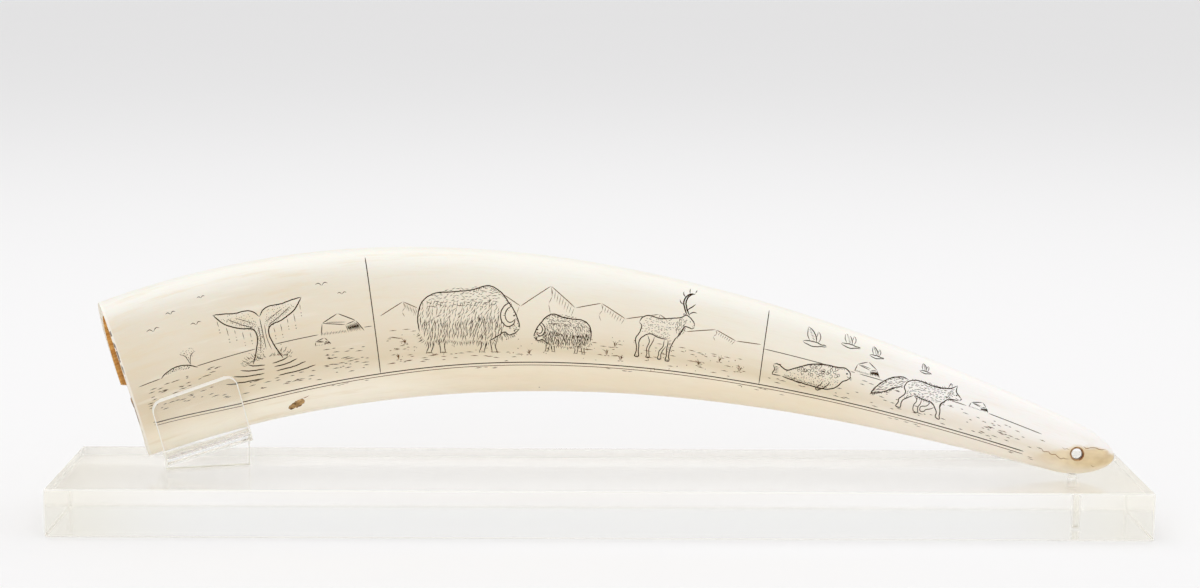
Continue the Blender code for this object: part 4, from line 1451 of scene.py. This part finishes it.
def sawn_finish():
    """The sawn and broken rim: matt, pale with tan patches, saw marks and ground-in dirt.

    A band low in the break is browner, from a smooth step of the height below and one above.
    """
    sawn = Finish("sawn_ivory", IOR=1.54)
    place = sawn.straight_place()
    marks = sawn.noise(sawn.stretched(place, 200, 3000, 300), detail=2)
    patches = sawn.noise(place, scale=150, detail=5, roughness=0.65)
    colour = sawn.mix(patches.between(0.40, 0.62), (0.88, 0.84, 0.75), (0.78, 0.69, 0.53))
    dirt = sawn.noise(place, scale=420, detail=4, roughness=0.7)
    dirty = (dirt * 0.6 + patches * 0.4).between(0.565, 0.635)
    colour = sawn.mix(dirty, colour, (0.22, 0.15, 0.09))
    _, _, upward = sawn.parts(place)
    # a darker brown band low in the break
    low_dark_band = upward.between(-0.026, -0.021) * (1 - upward.between(-0.012, -0.007))
    colour = sawn.mix(low_dark_band * 0.85, colour, (0.20, 0.10, 0.045))
    sawn.paint(colour)
    sawn.gloss(0.55 + patches * 0.3)
    sawn.bump(marks + patches, distance=0.0003)
    return sawn


def cavity_finish():
    """The pulp cavity: orange-brown, streaked along the tusk, with darker growth rings."""
    cavity = Finish("cavity_wall", IOR=1.5)
    place = cavity.straight_place()
    streaks = cavity.noise(cavity.stretched(place, 40, 400, 400), detail=5, roughness=0.6)
    rings = cavity.noise(cavity.stretched(place, 420, 25, 25), detail=3)
    colour = cavity.mix(streaks.between(0.32, 0.66), (0.60, 0.265, 0.045), (0.92, 0.54, 0.155))
    colour = cavity.mix(rings.between(0.50, 0.68) * 0.5, colour, (0.42, 0.20, 0.06))
    grime = cavity.noise(place, scale=260, detail=5, roughness=0.7)
    colour = cavity.mix(grime.between(0.56, 0.70) * 0.7, colour, (0.10, 0.055, 0.025))
    cavity.paint(colour)
    cavity.gloss(0.62 + streaks * 0.25)
    cavity.bump(streaks + rings, distance=0.0006)
    return cavity


def drilled_hole_finish():
    """The drilled hole: dark reddish brown, darkest in its drill rings."""
    hole = Finish("drilled_hole", IOR=1.5)
    place = hole.object_place()
    rings = hole.noise(hole.stretched(place, 300, 2200, 300), detail=2)
    smear = hole.noise(place, scale=500, detail=4)
    colour = hole.mix(smear.between(0.35, 0.65), (0.26, 0.11, 0.038), (0.55, 0.34, 0.16))
    hole.paint(hole.mix(rings.between(0.55, 0.70) * 0.6, colour, (0.09, 0.035, 0.014)))
    hole.gloss(0.35 + smear * 0.3)
    hole.bump(rings, distance=0.0002)
    return hole


def ink_finish(name, colour, roughness=0.55):
    """Ink rubbed into cut lines: dull, and one even colour, so that it bakes crisp."""
    return Finish(name, Base_Color=colour, Roughness=roughness, Specular_IOR_Level=0.06)


def pit_finish():
    """The chip's floor: splintered, brown, with black crumbs of dirt."""
    pit = Finish("chip_floor", IOR=1.5)
    place = pit.straight_place()
    splinters = pit.noise(pit.stretched(place, 260, 1300, 1300), detail=4, roughness=0.65)
    colour = pit.mix(splinters.between(0.35, 0.6), (0.11, 0.045, 0.012), (0.58, 0.36, 0.14))
    pit.paint(pit.mix(splinters.between(0.62, 0.70), colour, (0.80, 0.64, 0.40)))
    pit.gloss(0.6 + splinters * 0.3)
    pit.bump(splinters, distance=0.0006)
    return pit


# Clear acrylic: tints, and how dull wiping has left it
BLOCK_TINT = 0.990, 0.987, 0.978
BLOCK_END_TINT = 0.955, 0.93, 0.85
# painted shade: the darker tint on the block's top and underside towards its back
PAINTED_BACK_SHADE_TINT = 0.91, 0.895, 0.86
SHEET_TINT = 0.998, 0.997, 0.99
ROD_TINT = 0.985, 0.985, 0.975
BLOCK_SMEAR = 0.14
SHEET_SMEAR = 0.015
ROD_SMEAR = 0.03
BLOCK_END = 0.20**2, 0.30**2  # squares of the distance from its middle
# where the painted shade on the block's top and underside begins and is full
PAINTED_BACK_SHADE_SPAN = 0.024, 0.036
BACK_FACE = 0.0502, 0.0506


def acrylic_finish(name, tint, smear, end_tint=None, painted_back_shade=None):
    """Clear acrylic: faint wiping marks in its roughness, and hair-thin scratches as bump.

    The block's own tint deepens smoothly towards both its ends. On its top and underside it
    darkens towards its back: painted shade.
    """
    clear = Finish(name, IOR=1.49, Transmission_Weight=1.0)
    place = clear.object_place()
    along, across, _ = clear.parts(place)
    wipes = clear.noise(clear.stretched(place, 14, 40, 40), detail=3, roughness=0.5)
    colour = clear.mix(wipes, tint, tuple(share * 0.99 for share in tint))
    if end_tint:
        to_end = (along * along).between(*BLOCK_END)
        colour = clear.mix(to_end * (0.7 + wipes * 0.5), colour, end_tint)
        # painted shade on the top and underside towards the back
        back_shade_mask = across.between(*PAINTED_BACK_SHADE_SPAN) * (1 - across.between(*BACK_FACE))
        colour = clear.mix(back_shade_mask, colour, painted_back_shade)
    clear.paint(colour)
    clear.gloss(smear + wipes * smear * 0.35)
    scratches = clear.noise(clear.stretched(place, 60, 2500, 900), detail=2)
    clear.bump(scratches.between(0.62, 0.75), distance=0.00002, strength=smear * 2)
    return clear


def frosted_edge_highlight_finish():
    """Worn edges of the acrylic: frosted and slightly yellow, so that they gather light.

    Their near-white colour is partly a painted highlight.
    """
    edge = Finish("acrylic_edge_and_highlight", IOR=1.49, Transmission_Weight=0.35)
    frost = edge.noise(edge.object_place(), scale=700, detail=3)
    # near white: partly frost, partly a painted highlight along the edges
    edge.paint(edge.mix(frost, (0.965, 0.95, 0.89), (0.99, 0.985, 0.96)))
    edge.gloss(0.32 + frost * 0.25)
    edge.bump(frost, distance=0.00005)
    return edge


def floor_finish():
    """Matt white board, very slightly cloudy."""
    board = Finish("pale_board")
    place = board.object_place()
    clouds = board.noise(place, scale=0.7, detail=2)
    board.paint(board.mix(clouds, (0.878, 0.873, 0.878), (0.888, 0.883, 0.886)))
    board.gloss(0.85 + clouds * 0.1)
    return board


def dress_tusk():
    finishes = [
        ivory_finish(), sawn_finish(), cavity_finish(), drilled_hole_finish(),
        ink_finish("black_ink", (0.034, 0.015, 0.003)),
        ink_finish("brown_ink", (0.12, 0.054, 0.014)),
        ink_finish("crack_dirt", (0.33, 0.175, 0.075), roughness=0.7),
        pit_finish(),
    ]
    shell = make_tusk()
    tusk = build_tusk("engraved_tusk", shell, [finish.material for finish in finishes])
    dress(tusk, "tusk")


# Stand

def solid(name, points, faces, finishes, edge, thickness=0.0):
    """A piece of the stand: its surface, given a thickness if it is a sheet, with eased edges.

    The second finish goes on the eased edges and on the rim of a sheet.
    """
    mesh = bpy.data.meshes.new(name)
    mesh.from_pydata(np.asarray(points).tolist(), [], [list(face) for face in faces])
    mesh.polygons.foreach_set("use_smooth", np.ones(len(mesh.polygons), bool))
    for finish in finishes:
        mesh.materials.append(finish.material)
    made = into_scene(name, mesh)
    if thickness:
        thick = made.modifiers.new("sheet_thickness", "SOLIDIFY")
        thick.thickness = thickness
        thick.offset = 1
        thick.use_even_offset = True
        thick.material_offset_rim = 1
    eased = made.modifiers.new("eased_edges", "BEVEL")
    eased.width = edge
    eased.segments = EASED_STEPS
    eased.limit_method = "ANGLE"
    eased.angle_limit = SHARPEST_KEPT
    eased.harden_normals = True
    eased.material = 1
    return made


def turned_faces(rows, columns):
    """Quads between closed rings of a grid, and a fan to the point before and after them."""
    number = 1 + np.arange(rows * columns).reshape(rows, columns)
    across = np.roll(number, -1, axis=1)
    quads = together(number[:-1], across[:-1], across[1:], number[1:]).reshape(-1, 4)
    first = together(0 * number[0], across[0], number[0])
    last = together(0 * number[0] + rows * columns + 1, number[-1], across[-1])
    return [*quads.tolist(), *first.tolist(), *last.tolist()]


def dress(piece, node):
    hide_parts(node)
    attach(piece, "root")


def round_the_block(low, high, centre):
    """Directions round the bore: one to each corner of the block, and even ones between them."""
    even = np.linspace(-math.pi, math.pi, ROUND_SIDES, endpoint=False)
    corners = [
        math.atan2(y - centre[1], x - centre[0])
        for x in (low[0], high[0])
        for y in (low[1], high[1])
    ]
    clear = np.abs(np.subtract.outer(even, corners)).min(axis=1) > math.pi / ROUND_SIDES / 2
    turn = np.sort(np.concatenate([even[clear], corners]))
    way = circle(turn)
    to_wall = np.where(way > 0, high - centre, centre - low) / np.maximum(np.abs(way), 1e-9)
    return way, to_wall.min(axis=1)


def make_block(finishes):
    """Rings carried from the underside's middle to the bore's floor.

    Each ring is cast from the bore's axis in the same directions: out to the block's sides at its
    bottom and top, then to the bore's radius at its mouth and floor.
    """
    low, high = (np.array(corner[:2]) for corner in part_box("base_block"))
    foot_low, foot_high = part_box("tip_peg")
    centre = np.array((foot_low + foot_high)[:2]) / 2
    bore = (foot_high.x - foot_low.x) / 2 + PEG_BORE_CLEARANCE
    way, to_wall = round_the_block(low, high, centre)
    reaches = [to_wall, to_wall, bore + 0 * to_wall, bore + 0 * to_wall]
    levels = [0, BLOCK_HEIGHT, BLOCK_HEIGHT, PEG_BORE_FLOOR]
    points = [[[*centre, 0]]]
    for reach, level in zip(reaches, levels):
        flat = centre + reach[:, None] * way
        points.append(np.column_stack([flat, np.full(len(flat), level)]))
    points.append([[*centre, levels[-1]]])
    faces = turned_faces(len(levels), len(way))
    return solid("acrylic_block", np.vstack(points), faces, finishes, edge=BLOCK_EDGE)


def make_peg(finishes):
    """A rod: two circles between the ends of its axis."""
    low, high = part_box("tip_peg")
    centre, radius = (low + high) / 2, (high.x - low.x) / 2
    flat = circle(even_turns(ROUND_SIDES)) * radius + centre[:2]
    rings = [np.column_stack([flat, np.full(ROUND_SIDES, level)]) for level in (low.z, high.z)]
    points = np.vstack([[[centre.x, centre.y, low.z]], *rings, [[centre.x, centre.y, high.z]]])
    return solid("acrylic_peg", points, turned_faces(2, ROUND_SIDES), finishes, edge=PEG_EDGE)


def section_reach(direction):
    """How far the tusk's section at the cradle reaches from its middle in a direction.

    For a superellipse that is the sum of the dual powers of the direction's two parts, each
    times its half size, brought back by the dual root.
    """
    u = np.array(CRADLE_STATION)
    height, thickness = section_sizes(u)
    side, up = section_axes(u)
    dual = SECTION_POWER / (SECTION_POWER - 1)
    across, upward = abs(thickness * (side @ direction)), abs(height * (up @ direction))
    return (across**dual + upward**dual) ** (1 / dual) + CRADLE_CLEARANCE


def cradle_half(wall, floor):
    """One wall from the lip down, then its bend: points outward and up, and depths below the lip.

    Rows are close where the lip's corner is round. The bend is a part of a circle.
    """
    flare = CRADLE_FLARE
    lip = floor - SHEET + CRADLE_WALL
    low = floor + CRADLE_BEND_RADIUS
    around = np.append(0, np.linspace(math.pi / 6, math.pi / 2, BEND_STEPS))
    corner = CRADLE_CORNER_RADIUS * (1 - np.cos(around))
    down = np.append(corner, lip - low - SHEET_EDGE)
    edge = together((wall + (lip - down) * math.sin(flare)) / math.cos(flare), lip - down)
    turn = np.linspace(-flare, -math.pi / 2, BEND_STEPS + 1)
    wall_x = (wall + low * math.sin(flare)) / math.cos(flare)
    centre = np.array([wall_x - CRADLE_BEND_RADIUS / math.cos(flare), low])
    bend = centre + CRADLE_BEND_RADIUS * circle(turn)
    support = bend[-1] - [SHEET_EDGE, 0]
    return np.vstack([edge, bend, support]), np.append(down, np.full(len(turn) + 1, CRADLE_WALL))


def cradle_place():
    u = np.array(CRADLE_STATION)
    side, up = level_axes(u)
    return middle(u), side, tangent(u), up


def make_cradle(finishes):
    """The bent trough's inner face: its section carried along the tusk, with rounded lip corners.

    The section is two leaning walls joined by round bends to a floor. Towards each lip the length
    falls as a quarter circle, and the near lip rises with the length.
    """
    centre, side, along, up = cradle_place()
    floor = -section_reach(-up)
    lean = math.cos(CRADLE_FLARE), math.sin(CRADLE_FLARE)
    ways = (out * side * lean[0] - up * lean[1] for out in (1, -1))
    near, far = (cradle_half(section_reach(way), floor) for way in ways)
    section = np.vstack([near[0], far[0][::-1] * [-1, 1]])
    below = np.concatenate([near[1], far[1][::-1]])
    from_corner = np.clip(CRADLE_CORNER_RADIUS - below, 0, None)
    half = CRADLE_LENGTH / 2 - CRADLE_CORNER_RADIUS
    half = half + np.sqrt(CRADLE_CORNER_RADIUS**2 - from_corner**2)
    reach = np.linspace(-1, 1, CRADLE_ROWS)[:, None] * half
    by_lip = below < CRADLE_CORNER_RADIUS + SHEET_EDGE
    rise = section[:, 1] + by_lip * reach * math.tan(CRADLE_LIP_SLANT)
    points = centre + section[:, :1] * side + reach[..., None] * along + rise[..., None] * up
    number = np.arange(reach.size).reshape(reach.shape)
    faces = together(number[:-1, :-1], number[:-1, 1:], number[1:, 1:], number[1:, :-1])
    points, faces = points.reshape(-1, 3), faces.reshape(-1, 4)
    return solid("acrylic_cradle", points, faces, finishes, SHEET_EDGE, thickness=SHEET)


def make_foot(finishes):
    """The upright plate under the cradle: four corners, and the sheet's thickness."""
    centre, side, along, up = cradle_place()
    under = -section_reach(-up) - SHEET
    reach = np.array([-1, 1])[:, None] * CRADLE_LENGTH / 2
    top = centre + (FOOT_FORWARD + SHEET / 2) * side + reach * along + under * up - [0, 0, GAP]
    bottom = np.column_stack([top[::-1, :2], np.full(2, BLOCK_HEIGHT + GAP)])
    points = np.vstack([top, bottom])
    return solid("acrylic_foot", points, [(0, 1, 2, 3)], finishes, SHEET_EDGE, thickness=SHEET)


def dress_stand():
    tints = BLOCK_TINT, BLOCK_SMEAR, BLOCK_END_TINT, PAINTED_BACK_SHADE_TINT
    block = acrylic_finish("block_acrylic", *tints)
    sheet = acrylic_finish("sheet_acrylic", SHEET_TINT, SHEET_SMEAR)
    rod = acrylic_finish("rod_acrylic", ROD_TINT, ROD_SMEAR)
    edge = frosted_edge_highlight_finish()
    dress(make_block([block, edge]), "base_block")
    dress(make_cradle([sheet, edge]), "cradle")
    dress(make_foot([sheet, edge]), "cradle_foot")
    dress(make_peg([rod, edge]), "tip_peg")


# Stage, light and camera

CAMERA_PLACE = Vector((-0.0196, -1.2539, 0.3244))
CAMERA_YAW = math.radians(0.858)
CAMERA_PITCH = math.radians(9.154)
CAMERA_ROLL = math.radians(0.444)
FOCAL_PIXELS = 2356.2
FRAME_WIDTH = 1200
SENSOR = 36.0
FARTHEST_SEEN = 100
FLOOR_REACH = 30.0
FLOOR_DROP = 0.0002  # keeps the floor clear of the block's underside
ROOM_LIGHT = 0.86
LIGHT_BOUNCES = 32

# Place, aim, size and power of each light
LIGHTS = {
    "soft_box": ((0, 0.5, 2.0), (0, 0.5, 0), (2.4, 1.8), 11),
    "front_fill": ((-0.4, -2.3, 0.9), (0, 0, 0.06), (2.2, 1.4), 7),
}


def make_camera():
    data = bpy.data.cameras.new("camera")
    data.sensor_width = SENSOR
    data.lens = FOCAL_PIXELS / FRAME_WIDTH * SENSOR
    data.clip_end = FARTHEST_SEEN
    camera = into_scene("camera", data)
    ahead = Vector((
        math.sin(CAMERA_YAW) * math.cos(CAMERA_PITCH),
        math.cos(CAMERA_YAW) * math.cos(CAMERA_PITCH),
        -math.sin(CAMERA_PITCH),
    ))
    level = Vector((math.cos(CAMERA_YAW), -math.sin(CAMERA_YAW), 0))
    rise = level.cross(ahead)
    right = math.cos(CAMERA_ROLL) * level + math.sin(CAMERA_ROLL) * rise
    up = math.cos(CAMERA_ROLL) * rise - math.sin(CAMERA_ROLL) * level
    place = Matrix((right, up, -ahead)).transposed().to_4x4()
    place.translation = CAMERA_PLACE
    camera.matrix_world = place
    bpy.context.scene.camera = camera


def area_light(name, place, towards, size, power):
    data = bpy.data.lights.new(name, "AREA")
    data.shape = "RECTANGLE"
    data.size, data.size_y = size
    data.energy = power
    light = into_scene(name, data)
    light.location = place
    light.rotation_euler = (Vector(towards) - Vector(place)).to_track_quat("-Z", "Y").to_euler()


def make_stage():
    """A pale floor that reaches far past the view, a white room, a soft box and a front light."""
    mesh = bpy.data.meshes.new("floor")
    around = [(-1, -1), (1, -1), (1, 1), (-1, 1)]
    corners = [(x * FLOOR_REACH, y * FLOOR_REACH, -FLOOR_DROP) for x, y in around]
    mesh.from_pydata(corners, [], [(0, 1, 2, 3)])
    floor = into_scene("floor", mesh)
    mesh.materials.append(floor_finish().material)
    scene = bpy.context.scene
    scene.world = bpy.data.worlds.new("room")
    scene.world.use_nodes = True
    room = scene.world.node_tree.nodes["Background"].inputs
    room["Color"].default_value = (1, 1, 1, 1)
    room["Strength"].default_value = ROOM_LIGHT
    for name, settings in LIGHTS.items():
        area_light(name, *settings)
    scene.cycles.blur_glossy = 0
    for kind in ("max", "transmission", "glossy"):
        setattr(scene.cycles, f"{kind}_bounces", LIGHT_BOUNCES)
    scene.cycles.diffuse_bounces = LIGHT_BOUNCES // 4
    scene.view_settings.view_transform = "Standard"


make_camera()
make_stage()
dress_tusk()
dress_stand()
